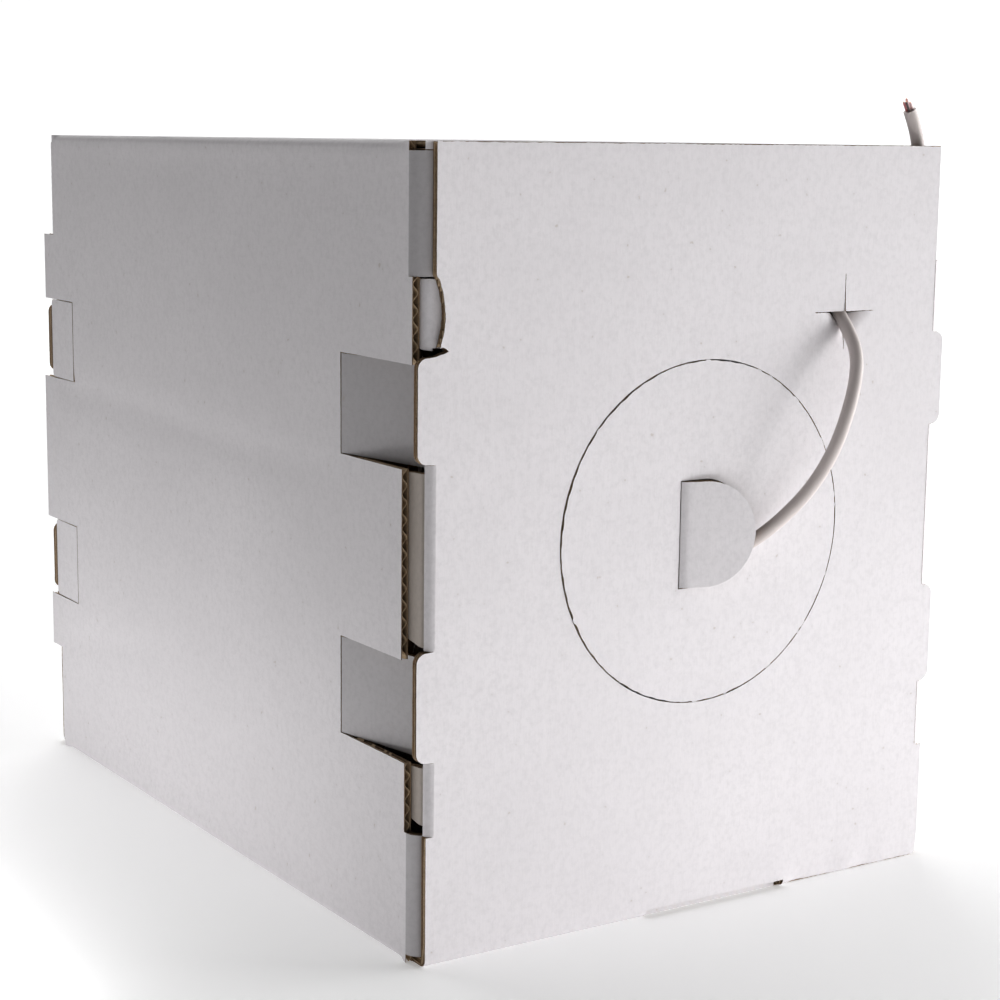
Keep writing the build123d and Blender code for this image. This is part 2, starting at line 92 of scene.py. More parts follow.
class Nodes:
    """A material's node tree, built link by link."""

    def __init__(self, name):
        self.material = bpy.data.materials.new(name)
        self.material.use_nodes = True
        self.tree = self.material.node_tree
        self.shader = self.tree.nodes["Principled BSDF"]
        self.place = self.add("ShaderNodeTexCoord").outputs["Object"]

    def add(self, kind, **settings):
        node = self.tree.nodes.new(kind)
        for key, value in settings.items():
            setattr(node, key, value)
        return node

    def link(self, a, b):
        self.tree.links.new(a, b)

    def noise(self, scale, detail=2.0, rough=0.5, stretch=None):
        node = self.add("ShaderNodeTexNoise")
        node.inputs["Scale"].default_value = scale
        node.inputs["Detail"].default_value = detail
        node.inputs["Roughness"].default_value = rough
        self.link(self.stretched(stretch), node.inputs["Vector"])
        return node.outputs["Fac"]

    def stretched(self, stretch):
        if stretch is None:
            return self.place
        node = self.add("ShaderNodeMapping")
        node.inputs["Scale"].default_value = stretch
        self.link(self.place, node.inputs["Vector"])
        return node.outputs["Vector"]

    def wave(self, axis, pitch, distortion=0.0, detail_scale=1.0):
        node = self.add("ShaderNodeTexWave", wave_type="BANDS", bands_direction=axis)
        node.inputs["Scale"].default_value = 2 * math.pi / (20 * pitch * MM)
        node.inputs["Distortion"].default_value = distortion
        node.inputs["Detail Scale"].default_value = detail_scale
        self.link(self.place, node.inputs["Vector"])
        return node.outputs["Fac"]

    def ramp(self, source, stops):
        node = self.add("ShaderNodeValToRGB")
        ramp = node.color_ramp
        while len(ramp.elements) < len(stops):
            ramp.elements.new(0.5)
        for element, (position, color) in zip(ramp.elements, stops):
            element.position = position
            element.color = (*color, 1.0) if len(color) == 3 else color
        self.link(source, node.inputs["Fac"])
        return node.outputs["Color"]

    def grey(self, source, low, high, start=0.0, end=1.0):
        """source, read from start to end, as a number from low to high."""
        node = self.add("ShaderNodeMapRange")
        node.inputs["From Min"].default_value = start
        node.inputs["From Max"].default_value = end
        node.inputs["To Min"].default_value = low
        node.inputs["To Max"].default_value = high
        self.link(source, node.inputs["Value"])
        return node.outputs["Result"]

    def mix(self, factor, a, b, kind="MIX"):
        node = self.add("ShaderNodeMix", data_type="RGBA", blend_type=kind)
        for value, socket in ((factor, node.inputs[0]), (a, node.inputs[6]), (b, node.inputs[7])):
            if isinstance(value, (int, float)):
                socket.default_value = value
            elif isinstance(value, tuple):
                socket.default_value = (*value, 1.0)
            else:
                self.link(value, socket)
        return node.outputs[2]

    def maths(self, kind, a, b):
        node = self.add("ShaderNodeMath", operation=kind)
        for value, socket in ((a, node.inputs[0]), (b, node.inputs[1])):
            if isinstance(value, (int, float)):
                socket.default_value = value
            else:
                self.link(value, socket)
        return node.outputs[0]

    def bump(self, height, distance, strength=1.0, base=None):
        node = self.add("ShaderNodeBump")
        node.inputs["Distance"].default_value = distance * MM
        node.inputs["Strength"].default_value = strength
        self.link(height, node.inputs["Height"])
        if base is not None:
            self.link(base, node.inputs["Normal"])
        return node.outputs["Normal"]

    def finish(self, color=None, roughness=None, normal=None, **constants):
        for value, key in ((color, "Base Color"), (roughness, "Roughness"), (normal, "Normal")):
            if value is None:
                continue
            if isinstance(value, (int, float)):
                self.shader.inputs[key].default_value = value
            else:
                self.link(value, self.shader.inputs[key])
        for key, value in constants.items():
            self.shader.inputs[key.replace("_", " ")].default_value = value
        return self.material


def tint(tone, factor, most=1.0):
    return tuple(min(c * factor, most) for c in tone)


def white_liner(name, flute_axis_across, fibre_stretch, tone=(0.775, 0.745, 0.765), shade=1.0):
    """Clay-coated white liner: mottled fibres, a hint of the flutes beneath, and a few specks. A shade below
    1 darkens the whole liner as painted shade.
    """
    n = Nodes(name)
    cloud = n.noise(9.0, 4.0, 0.55)
    patch = n.noise(38.0, 4.0, 0.6)
    fibre = n.noise(900.0, 3.0, 0.65, fibre_stretch)
    mottle = n.noise(420.0, 4.0, 0.68)
    deep = tint(tone, 0.95 * shade)
    pale = tint(tone, 1.03 * shade, 0.86)
    color = n.ramp(cloud, [(0.3, deep), (0.72, pale)])
    color = n.mix(n.grey(patch, 0.0, 0.35, 0.42, 0.75), color, tint(tone, 0.93 * shade))
    color = n.mix(n.grey(mottle, 0.0, 0.7, 0.44, 0.72), color, tint(tone, 0.86 * shade))
    color = n.mix(n.grey(fibre, 0.0, 0.35, 0.45, 0.85), color, tint(tone, 0.84 * shade))
    washboard = n.wave(flute_axis_across, PITCH, 0.5, 0.8)
    color = n.mix(n.grey(washboard, 0.0, 0.05), color, tint(tone, 0.95 * shade))
    specks = n.noise(420.0, 1.0, 0.3)
    color = n.mix(n.grey(specks, 0.0, 0.35, 0.79, 0.82), color, (0.45, 0.37, 0.30))
    normal = n.bump(washboard, 0.008)
    normal = n.bump(fibre, 0.03, base=normal)
    normal = n.bump(mottle, 0.035, base=normal)
    normal = n.bump(patch, 0.12, base=normal)
    rough = n.grey(mottle, 0.55, 0.72, 0.3, 0.7)
    return n.finish(color, rough, normal, Specular_IOR_Level=0.3)


def kraft(name, tone, fibre_stretch, depth=0.05):
    """Unbleached kraft paper with long fibres and darker flecks."""
    n = Nodes(name)
    fibre = n.noise(650.0, 4.0, 0.7, fibre_stretch)
    cloud = n.noise(35.0, 3.0, 0.6)
    color = n.ramp(fibre, [(0.28, tint(tone, 0.66)), (0.5, tone), (0.78, tint(tone, 1.35, 0.8))])
    color = n.mix(n.grey(cloud, 0.0, 0.5, 0.35, 0.75), color, tint(tone, 0.8))
    flecks = n.noise(1500.0, 1.0, 0.3)
    color = n.mix(n.grey(flecks, 0.0, 0.7, 0.70, 0.76), color, tint(tone, 0.35))
    normal = n.bump(fibre, depth)
    rough = n.grey(cloud, 0.78, 0.92)
    return n.finish(color, rough, normal, Specular_IOR_Level=0.2)


def jacket(name, tone):
    """Extruded PVC jacket with a soft sheen and faint ridges from the pairs inside."""
    n = Nodes(name)
    cloud = n.noise(60.0, 3.0, 0.55)
    fine = n.noise(1400.0, 2.0, 0.5)
    color = n.ramp(cloud, [(0.3, tint(tone, 0.94)), (0.7, tone)])
    color = n.mix(n.grey(fine, 0.0, 0.18, 0.5, 0.8), color, tint(tone, 0.85))
    normal = n.bump(cloud, 0.10)
    normal = n.bump(fine, 0.008, base=normal)
    return n.finish(color, n.grey(fine, 0.46, 0.6), normal, Specular_IOR_Level=0.3)


def insulation(name, tone):
    n = Nodes(name)
    fine = n.noise(2200.0, 2.0, 0.5)
    color = n.ramp(fine, [(0.3, tint(tone, 0.8)), (0.7, tone)])
    return n.finish(color, n.grey(fine, 0.3, 0.45), n.bump(fine, 0.01))


def metal(name, tone, roughness):
    n = Nodes(name)
    fine = n.noise(900.0, 3.0, 0.6)
    cloud = n.noise(140.0, 2.0, 0.5)
    color = n.ramp(cloud, [(0.3, tint(tone, 0.78)), (0.75, tone)])
    return n.finish(color, n.grey(fine, roughness * 0.8, roughness * 1.35), n.bump(fine, 0.012), Metallic=1.0)


def pressed_board(name, tone):
    """Hardboard: pressed brown fibre with darker strands and a waxy surface."""
    n = Nodes(name)
    strand = n.noise(260.0, 5.0, 0.7, (1.0, 1.0, 3.0))
    cloud = n.noise(24.0, 3.0, 0.6)
    color = n.ramp(strand, [(0.3, tint(tone, 0.55)), (0.52, tone), (0.75, tint(tone, 1.3))])
    color = n.mix(n.grey(cloud, 0.0, 0.45, 0.35, 0.7), color, tint(tone, 0.75))
    return n.finish(color, n.grey(strand, 0.45, 0.68), n.bump(strand, 0.06), Specular_IOR_Level=0.3)


def wound_paper(name, tone, along="X", pitch=46.0):
    """A spiral-wound paper tube, with its wraps' seams."""
    n = Nodes(name)
    fibre = n.noise(700.0, 4.0, 0.7, (1.0, 1.0, 1.0))
    seam = n.wave(along, pitch, 1.2, 0.4)
    color = n.ramp(fibre, [(0.3, tint(tone, 0.72)), (0.7, tone)])
    color = n.mix(n.grey(seam, 0.6, 0.0, 0.0, 0.035), color, tint(tone, 0.45))
    normal = n.bump(n.grey(seam, 0.0, 1.0, 0.0, 0.05), 0.12)
    normal = n.bump(fibre, 0.03, base=normal)
    return n.finish(color, n.grey(fibre, 0.7, 0.85), normal, Specular_IOR_Level=0.25)


def moulded(name, tone):
    n = Nodes(name)
    grain = n.noise(1100.0, 3.0, 0.6)
    cloud = n.noise(50.0, 2.0, 0.5)
    color = n.ramp(cloud, [(0.3, tint(tone, 0.8)), (0.7, tone)])
    return n.finish(color, n.grey(grain, 0.38, 0.56), n.bump(grain, 0.02), Specular_IOR_Level=0.45)


WRAP_WHITE = white_liner("white_liner_wrap", "Z", (1.0, 0.25, 1.6))
# The same white liner darkened to 0.66: painted shade for the front lock tabs and the front corner flanges,
# which lie in shade.
WHITE_PAINTED_SHADE = white_liner("white_liner_painted_shade", "Z", (1.0, 0.25, 1.6), shade=0.66)
# The white finger liner darkened and tinted brown-grey: painted shade, browned like light bounced off the cut
# edges, for fingers in a shadowed recess.
FINGER_PAINTED_SHADE = white_liner("white_liner_finger_painted_shade", "X", (1.6, 1.0, 0.25), (0.60, 0.53, 0.475), 0.82)
PANEL_WHITE = white_liner("white_liner_panel", "X", (1.6, 1.0, 0.25))
KRAFT_LINER = kraft("kraft_liner", (0.33, 0.235, 0.15), (1.0, 0.3, 1.4))
CUT_EDGE = kraft("kraft_cut_edge", (0.27, 0.185, 0.115), (1.0, 1.0, 1.0), 0.12)
FLUTE_PAPER = kraft("kraft_flute", (0.62, 0.46, 0.30), (1.0, 0.4, 1.2), 0.08)
BROWN_FACE = kraft("kraft_board_face", (0.43, 0.31, 0.195), (1.0, 0.3, 1.4))
JACKET = jacket("cable_jacket", (0.66, 0.595, 0.575))
JACKET_WOUND = jacket("cable_jacket_wound", (0.72, 0.68, 0.66))
SPOOL_BOARD = pressed_board("spool_hardboard", (0.30, 0.19, 0.105))
PAPER_TUBE = wound_paper("spiral_paper_tube", (0.45, 0.34, 0.22))
HUB_PLASTIC = moulded("hub_plastic", (0.035, 0.036, 0.04))
STEEL = metal("zinc_steel", (0.62, 0.63, 0.65), 0.32)

# ---- the cable comes first

FRONT = -HALF_DEPTH
CABLE_RADIUS = 2.65
# The CAD cable's route: across, behind the front panel's face, and up. It dips under the slit's upper edge.
CABLE_POINTS = [
    (-30.0, 72.2, 76.6),
    (-29.7, 63.5, 89.0),
    (-28.5, 53.0, 100.5),
    (-26.0, 40.5, 110.5),
    (-21.0, 28.0, 119.0),
    (-13.5, 16.5, 127.0),
    (-3.5, 7.8, 134.0),
    (9.0, 2.4, 140.0),
    (21.6, -3.2, 145.5),
    (33.8, -9.0, 155.7),
    (43.5, -14.5, 168.0),
    (51.0, -17.8, 181.5),
    (57.5, -18.0, 196.0),
    (64.0, -15.0, 209.0),
    (68.2, -10.5, 219.5),
    (69.6, -2.2, 229.0),
    (70.6, 7.4, 237.6),
    (73.2, 9.4, 247.5),
    (79.0, 9.4, 257.0),
    (88.0, 9.0, 264.5),
    (100.5, 8.6, 271.5),
    (109.0, 8.0, 280.5),
    (113.3, 7.5, 291.5),
    (112.6, 7.0, 303.5),
    (107.2, 7.0, 314.0),
]
CABLE_PLACES = [Vector((x, FRONT + y, z)) * MM for x, y, z in CABLE_POINTS]


def make_cable():
    curve = bpy.data.curves.new("network_cable", "CURVE")
    curve.dimensions = "3D"
    curve.resolution_u = 16
    curve.bevel_depth = CABLE_RADIUS * MM
    curve.bevel_resolution = 7
    curve.use_fill_caps = True
    spline = curve.splines.new("NURBS")
    spline.points.add(len(CABLE_PLACES) - 1)
    for point, place in zip(spline.points, CABLE_PLACES):
        point.co = (*place, 1.0)
    spline.order_u = 3
    spline.use_endpoint_u = True
    curve.materials.append(JACKET)
    cable = bpy.data.objects.new("network_cable", curve)
    scene.collection.objects.link(cable)
    return cable


cable = make_cable()
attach(cable, "front_panel")
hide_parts("cable_lead")

# ---- mesh tools


class Shape:
    """Vertices in millimetres, and faces with a material each, for one piece."""

    def __init__(self):
        self.points = []
        self.faces = []
        self.paints = []

    def add(self, points, faces, paint):
        start = len(self.points)
        self.points.extend(np.asarray(points, float).tolist())
        self.faces.extend([[start + i for i in face] for face in faces])
        if isinstance(paint, int):
            paint = [paint] * len(faces)
        self.paints.extend(paint)

    def make(self, name, body, replaced, materials, smooth=32.0):
        mesh = bpy.data.meshes.new(name)
        mesh.from_pydata([(x * MM, y * MM, z * MM) for x, y, z in self.points], [], self.faces)
        for material in materials:
            mesh.materials.append(material)
        mesh.polygons.foreach_set("material_index", self.paints)
        form = bmesh.new()
        form.from_mesh(mesh)
        bmesh.ops.dissolve_degenerate(form, dist=1e-7, edges=form.edges)
        form.to_mesh(mesh)
        form.free()
        mesh.polygons.foreach_set("use_smooth", [True] * len(mesh.polygons))
        mesh.set_sharp_from_angle(angle=math.radians(smooth))
        mesh.update()
        obj = bpy.data.objects.new(name, mesh)
        scene.collection.objects.link(obj)
        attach(obj, body)
        if replaced:
            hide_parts(*replaced)
        return obj


def area(loop):
    x, y = loop[:, 0], loop[:, 1]
    return 0.5 * np.sum(x * np.roll(y, -1) - y * np.roll(x, -1))


def dense(corners, step=1.3):
    """A closed outline with points no further apart than step."""
    out = []
    n = len(corners)
    for i in range(n):
        a, b = np.array(corners[i], float), np.array(corners[(i + 1) % n], float)
        count = max(1, int(math.ceil(np.linalg.norm(b - a) / step)))
        out.extend(a + (b - a) * k / count for k in range(count))
    return np.array(out)


def ruffle(loop, amount, seed, keep=None):
    """The outline pulled into its material by an uneven amount, as a die or a tear leaves it."""
    rng = np.random.default_rng(seed)
    n = len(loop)
    ahead, behind = np.roll(loop, -1, axis=0), np.roll(loop, 1, axis=0)
    along = ahead - behind
    along /= np.maximum(np.linalg.norm(along, axis=1, keepdims=True), 1e-9)
    inward = np.stack([-along[:, 1], along[:, 0]], axis=1)
    fine = rng.random(n)
    slow = np.interp(np.arange(n), np.arange(0, n + 6, 6), rng.random(len(np.arange(0, n + 6, 6))))
    pull = amount * (0.55 * fine + 0.45 * slow)
    if keep is not None:
        pull = pull * keep(loop)
    return loop + inward * pull[:, None]


def inside(points, loops):
    """Even-odd test of points against closed outlines."""
    result = np.zeros(len(points), bool)
    for loop in loops:
        a, b = loop, np.roll(loop, -1, axis=0)
        dy = b[:, 1] - a[:, 1]
        dy = np.where(np.abs(dy) < 1e-12, 1e-12, dy)
        for start in range(0, len(points), 4000):
            p = points[start : start + 4000]
            crosses = (a[None, :, 1] > p[:, None, 1]) != (b[None, :, 1] > p[:, None, 1])
            at = a[None, :, 0] + (p[:, None, 1] - a[None, :, 1]) * ((b[:, 0] - a[:, 0]) / dy)[None, :]
            hits = np.sum(crosses & (p[:, None, 0] < at), axis=1)
            result[start : start + 4000] ^= hits % 2 == 1
    return result


def add_sheet(shape, loops, place, low, high, spacing=7.0, paints=(0, 1, 1), rows=(), columns=()):
    """A thin sheet of paper from depth low to depth high below the board's outer face.

    paints are the materials of its outer face, its inner face and its cut edge. rows and columns are
    the v and u values that get points of their own, where the sheet bends.
    """
    border = np.concatenate(loops)
    edges = []
    start = 0
    for loop in loops:
        n = len(loop)
        edges.extend((start + i, start + (i + 1) % n) for i in range(n))
        start += n
    low_corner, high_corner = border.min(axis=0), border.max(axis=0)
    us = np.arange(low_corner[0] + spacing / 2, high_corner[0], spacing)
    vs = np.arange(low_corner[1] + spacing / 2, high_corner[1], spacing * 0.87)
    grid = np.array([(u + (spacing / 2 if k % 2 else 0), v) for k, v in enumerate(vs) for u in us])
    if len(grid):
        grid = grid[inside(grid, loops)]
    if len(grid):
        near = np.full(len(grid), np.inf)
        for s in range(0, len(border), 600):
            part = border[s : s + 600]
            near = np.minimum(near, np.min(np.linalg.norm(grid[:, None] - part[None], axis=2), axis=1))
        grid = grid[near > spacing * 0.35]
        for axis, values in ((1, rows), (0, columns)):
            for value in values:
                grid = grid[np.abs(grid[:, axis] - value) > 0.8]
    flat = np.concatenate([border, grid]) if len(grid) else border
    lines = [(u, row) for row in rows for u in np.arange(low_corner[0] + 1.1, high_corner[0], 2.6)]
    lines += [(column, v) for column in columns for v in np.arange(low_corner[1] + 1.1, high_corner[1], 2.0)]
    if lines:
        lines = np.array(lines)
        lines = lines[inside(lines, loops)]
        apart = np.array([np.min(np.linalg.norm(border - point, axis=1)) for point in lines])
        flat = np.concatenate([flat, lines[apart > 0.3]])
    made = delaunay_2d_cdt([Vector(p) for p in flat], edges, [], 0, 1e-5)
    points = np.array([(p.x, p.y) for p in made[0]])
    triangles = np.array(made[2])
    centres = points[triangles].mean(axis=1)
    triangles = triangles[inside(centres, loops)]
    a, b, c = points[triangles[:, 0]], points[triangles[:, 1]], points[triangles[:, 2]]
    size = (b[:, 0] - a[:, 0]) * (c[:, 1] - a[:, 1]) - (b[:, 1] - a[:, 1]) * (c[:, 0] - a[:, 0])
    triangles = triangles[np.abs(size) > 1e-7]
    size = size[np.abs(size) > 1e-7]
    triangles[size < 0] = triangles[size < 0][:, ::-1]
    n = len(points)
    top = place(points[:, 0], points[:, 1], np.full(n, float(low)))
    bottom = place(points[:, 0], points[:, 1], np.full(n, float(high)))
    # A place that mirrors its sheet turns the faces over.
    t = triangles[len(triangles) // 2]
    face = np.cross(top[t[1]] - top[t[0]], top[t[2]] - top[t[0]])
    outward = np.dot(face, top[t[0]] - bottom[t[0]]) > 0
    upper = triangles if outward else triangles[:, ::-1]
    lower = upper[:, ::-1] + n
    sides = {}
    for tri in upper:
        for i in range(3):
            sides[(tri[i], tri[(i + 1) % 3])] = True
    walls = [[j, i, i + n, j + n] for i, j in sides if (j, i) not in sides]
    faces = upper.tolist() + lower.tolist() + walls
    paint = [paints[0]] * len(upper) + [paints[1]] * len(lower) + [paints[2]] * len(walls)
    shape.add(np.concatenate([top, bottom]), faces, paint)


def crossings(loops, axis, value):
    """Where the line at value on an axis crosses the outlines, along the other axis."""
    hits = []
    for loop in loops:
        a, b = loop, np.roll(loop, -1, axis=0)
        over = (a[:, axis] > value) != (b[:, axis] > value)
        p, q = a[over], b[over]
        slope = (q[:, 1 - axis] - p[:, 1 - axis]) / (q[:, axis] - p[:, axis])
        hits.extend(p[:, 1 - axis] + (value - p[:, axis]) * slope)
    return sorted(hits)


def add_flutes(shape, loops, place, across, paint, steps=10, inset=0.35, folds=()):
    """The corrugated medium: a wave of paper between the liners, running across one axis of the sheet.

    across is 0 where the wave travels along u, and 1 where it travels along v. folds are the stretches along
    the flutes that bend, which get closer points.
    """
    border = np.concatenate(loops)
    low, high = border[:, across].min() + 0.05, border[:, across].max() - 0.05
    step = PITCH / steps
    paper = 0.24
    swing = (BOARD - 2 * LINER - paper) / 2
    marks = np.arange(math.floor(low / step) * step, high + step, step)
    for c0, c1 in zip(marks, marks[1:]):
        c0, c1 = max(c0, low), min(c1, high)
        if c1 - c0 < 0.02:
            continue
        hits = crossings(loops, across, (c0 + c1) / 2)
        h0 = BOARD / 2 + swing * math.sin(2 * math.pi * c0 / PITCH)
        h1 = BOARD / 2 + swing * math.sin(2 * math.pi * c1 / PITCH)
        for start, end in zip(hits[::2], hits[1::2]):
            start, end = start + inset, end - inset
            if end - start < 0.6:
                continue
            stops = [start, end]
            if end - start > 30.0:
                stops.extend(np.linspace(start + 8.0, end - 8.0, 2 + int((end - start) / 30.0)))
            for f0, f1 in folds:
                stops.extend(s for s in np.linspace(f0, f1, 7) if start < s < end)
            stops = np.array(sorted(stops))
            k = len(stops)
            # Well inside the board the wave keeps clear of the liners, which sag a little.
            ease = 1 - 0.45 * np.clip(np.minimum(stops - start, end - stops) / 8.0, 0, 1)
            d0, d1 = BOARD / 2 + (h0 - BOARD / 2) * ease, BOARD / 2 + (h1 - BOARD / 2) * ease
            along = np.tile(stops, 4)
            side = np.repeat([c0, c1, c1, c0], k)
            depth = np.concatenate([d0 - paper / 2, d1 - paper / 2, d1 + paper / 2, d0 + paper / 2])
            u, v = (side, along) if across == 0 else (along, side)
            points = place(u, v, depth)
            faces = []
            for r in range(4):
                for i in range(k - 1):
                    a, b = r * k + i, ((r + 1) % 4) * k + i
                    faces.append([a, b, b + 1, a + 1])
            faces.append([3 * k, 2 * k, k, 0])
            faces.append([k - 1, 2 * k - 1, 3 * k - 1, 4 * k - 1])
            centre = points.mean(axis=0)
            f = faces[0]
            normal = np.cross(points[f[1]] - points[f[0]], points[f[2]] - points[f[0]])
            middle = points[f].mean(axis=0)
            if np.dot(normal, middle - centre) < 0:
                faces = [face[::-1] for face in faces]
            shape.add(points, faces, paint)


def add_board(
    shape, loops, place, across, seed, rough=0.16, spacing=7.0,
    folds=(), keep=None, paints=(0, 1, 2, 3), rows=(), columns=(),
):
    """Corrugated board: outer liner, wave and inner liner.

    paints are the materials of its outer face, its inner paper, its cut edge and its wave.
    """
    face, paper, cut, wave = paints
    outer = [ruffle(loop, rough, seed + i, keep) for i, loop in enumerate(loops)]
    inner = [ruffle(loop, rough, seed + 50 + i, keep) for i, loop in enumerate(loops)]
    add_sheet(shape, outer, place, 0.0, LINER, spacing, (face, paper, cut), rows, columns)
    add_sheet(shape, inner, place, BOARD - LINER, BOARD, spacing * 1.6, (paper, paper, cut), rows, columns)
    add_flutes(shape, outer, place, across, wave, folds=folds)


def add_strip(shape, xs, ys, zs):
    """A flat strip of white liner between two values along each axis."""
    box = [(x, y, z) for x in xs for y in ys for z in zs]
    shape.add(box, [[0, 1, 3, 2], [4, 6, 7, 5], [0, 4, 5, 1], [2, 3, 7, 6], [0, 2, 6, 4], [1, 5, 7, 3]], 0)


def outer_loop(corners, step=1.3):
    loop = dense(corners, step)
    return loop if area(loop) > 0 else loop[::-1]


def hole_loop(corners, step=1.3):
    loop = dense(corners, step)
    return loop if area(loop) < 0 else loop[::-1]


def rounded(corners, radii, count=6):
    """An outline's corners with each radius that isn't 0 turned into an arc."""
    out = []
    n = len(corners)
    for i in range(n):
        p = np.array(corners[i], float)
        r = radii[i]
        if r <= 0:
            out.append(tuple(p))
            continue
        a = np.array(corners[i - 1], float) - p
        b = np.array(corners[(i + 1) % n], float) - p
        a, b = a / np.linalg.norm(a), b / np.linalg.norm(b)
        half = math.acos(np.clip(np.dot(a, b), -1, 1)) / 2
        reach = r / math.tan(half)
        middle = p + (a + b) / np.linalg.norm(a + b) * (r / math.sin(half))
        s, e = p + a * reach - middle, p + b * reach - middle
        for k in range(count + 1):
            d = s * (1 - k / count) + e * (k / count)
            out.append(tuple(middle + d / np.linalg.norm(d) * r))
    return out


def smooth_noise(u, v, seed, size):
    """Soft unevenness from 0 to 1 over a sheet, from a few seeded waves."""
    rng = np.random.default_rng(seed)
    total = np.zeros_like(u, float)
    for _ in range(6):
        angle, phase = rng.random() * 2 * math.pi, rng.random() * 2 * math.pi
        length = size * (0.6 + rng.random())
        total += np.sin((u * math.cos(angle) + v * math.sin(angle)) * 2 * math.pi / length + phase)
    return 0.5 + total / 12


# A board's materials: its outer face, its inner paper, its cut edge and its wave, then any darker outer face
# with painted shade.
LAYERS = [KRAFT_LINER, CUT_EDGE, FLUTE_PAPER]
WALL_MATERIALS = [WRAP_WHITE, *LAYERS, WHITE_PAINTED_SHADE]
TAB_MATERIALS = [WHITE_PAINTED_SHADE, *LAYERS]
BOARD_MATERIALS = [WRAP_WHITE, *LAYERS]
FINGER_MATERIALS = [PANEL_WHITE, *LAYERS, FINGER_PAINTED_SHADE]
PANEL_MATERIALS = [PANEL_WHITE, *LAYERS]
BROWN_MATERIALS = [BROWN_FACE, *LAYERS]
PAINTED_SHADE_FACE = 4

# ---- carton: sizes that the CAD model shares

GAP = 0.3
PANEL_BACK = BOARD + GAP
NOTCH = (-21.0, 48.6)
FOLD = 6.0
FLANGE_TOP = 50.0
FLANGE_BOTTOM = HEIGHT - 47.0
TABS = {"lower": (76.0, 114.0), "upper": (HEIGHT - 116.0, HEIGHT - 78.0)}
TAB_CREASE = {"front": 59.0, "back": 31.0}
TAB_END = {"front": 6.0, "back": 3.6}
TAB_PUSHED = {"front": 10.0, "back": 1.0}
SETBACK = {"front": (10.8, 13.5, 6.5), "back": (-3.0, -6.0, -3.0)}
SIDES = {"left": -1, "right": 1}
ENDS = {"front": -1, "back": 1}
BEND = HALF_DEPTH - PANEL_BACK - FOLD
# Heights of the points that follow a board's roll at the bottom and at the top.
ROLL_ROWS = (0.6, 1.2, 1.8, 2.4, 3.0)
TOP_ROWS = tuple(HEIGHT - row for row in ROLL_ROWS)


def wall_edge(end):
    lower, upper = TABS["lower"], TABS["upper"]
    low, middle, high = SETBACK[end]
    fold = PANEL_BACK + FOLD
    return [
        (0, FLANGE_TOP, fold),
        (FLANGE_TOP, lower[0], low),
        (lower[0], lower[1], TAB_CREASE[end]),
        (lower[1], upper[0], middle),
        (upper[0], upper[1], TAB_CREASE[end]),
        (upper[1], FLANGE_BOTTOM, high),
        (FLANGE_BOTTOM, HEIGHT, fold),
    ]


def wall_place(s):
    """A side wall's sheet, whose long edges roll over into the top and bottom panels."""

    def dent(u, v):
        d = 0.30 * smooth_noise(u, v, 11 + s, 150.0)
        if s < 0:
            # A long shallow crease across the wall, and soft dents near its top fold.
            line = (v - (177.0 + 0.02 * u)) / 7.0
            d = d + 0.75 * np.exp(-line * line) * np.clip((u + 125.0) / 60.0, 0.0, 1.0)
            low = (v - (66.0 - 0.16 * (u - 90.0))) / 6.0
            d = d + 0.60 * np.exp(-low * low) * np.clip((u - 10.0) / 70.0, 0.0, 1.0)
            sag = (u - 45.0) / 70.0
            d = d + 0.45 * np.exp(-sag * sag) * np.clip((v - 270.0) / 20.0, 0, 1)
        fade = np.clip((v - 4.0) / 9.0, 0, 1) * np.clip((HEIGHT - 3.5 - v) / 9.0, 0, 1)
        return d * fade * np.clip((BEND - np.abs(u)) / 8.0, 0, 1)

    def place(u, v, h):
        h = h + dent(u, v) * (1 - h / BOARD) * 0.9
        rolled = np.clip((BEND - 2.0 - np.abs(u)) / 5.0, 0, 1)
        x, z = HALF_WIDTH - h, v.astype(float).copy()
        for low, sign in ((HEIGHT - BOARD, 1), (BOARD, -1)):
            t = np.clip((v - low) * sign / BOARD, 0, 1)
            angle = t * math.pi / 2
            rx = INNER_X + (BOARD - h) * np.cos(angle)
            rz = low + sign * (BOARD - h) * np.sin(angle)
            bent = (t > 0) * rolled
            x = x * (1 - bent) + rx * bent
            z = z * (1 - bent) + rz * bent
        return np.stack([s * x, u, z], axis=1)

    return place


def corner_place(s, e):
    """A corner flange's sheet: u is the distance past the wall's flat part, around the fold."""

    def place(u, v, h):
        arc = (FOLD - BOARD / 2) * math.pi / 2
        angle = np.clip(u / arc, 0, 1) * math.pi / 2
        beyond = np.clip(u - arc, 0, None)
        x = HALF_WIDTH - FOLD + (FOLD - h) * np.cos(angle) - beyond
        y = BEND + (FOLD - h) * np.sin(angle)
        return np.stack([s * x, e * y, v], axis=1)

    return place


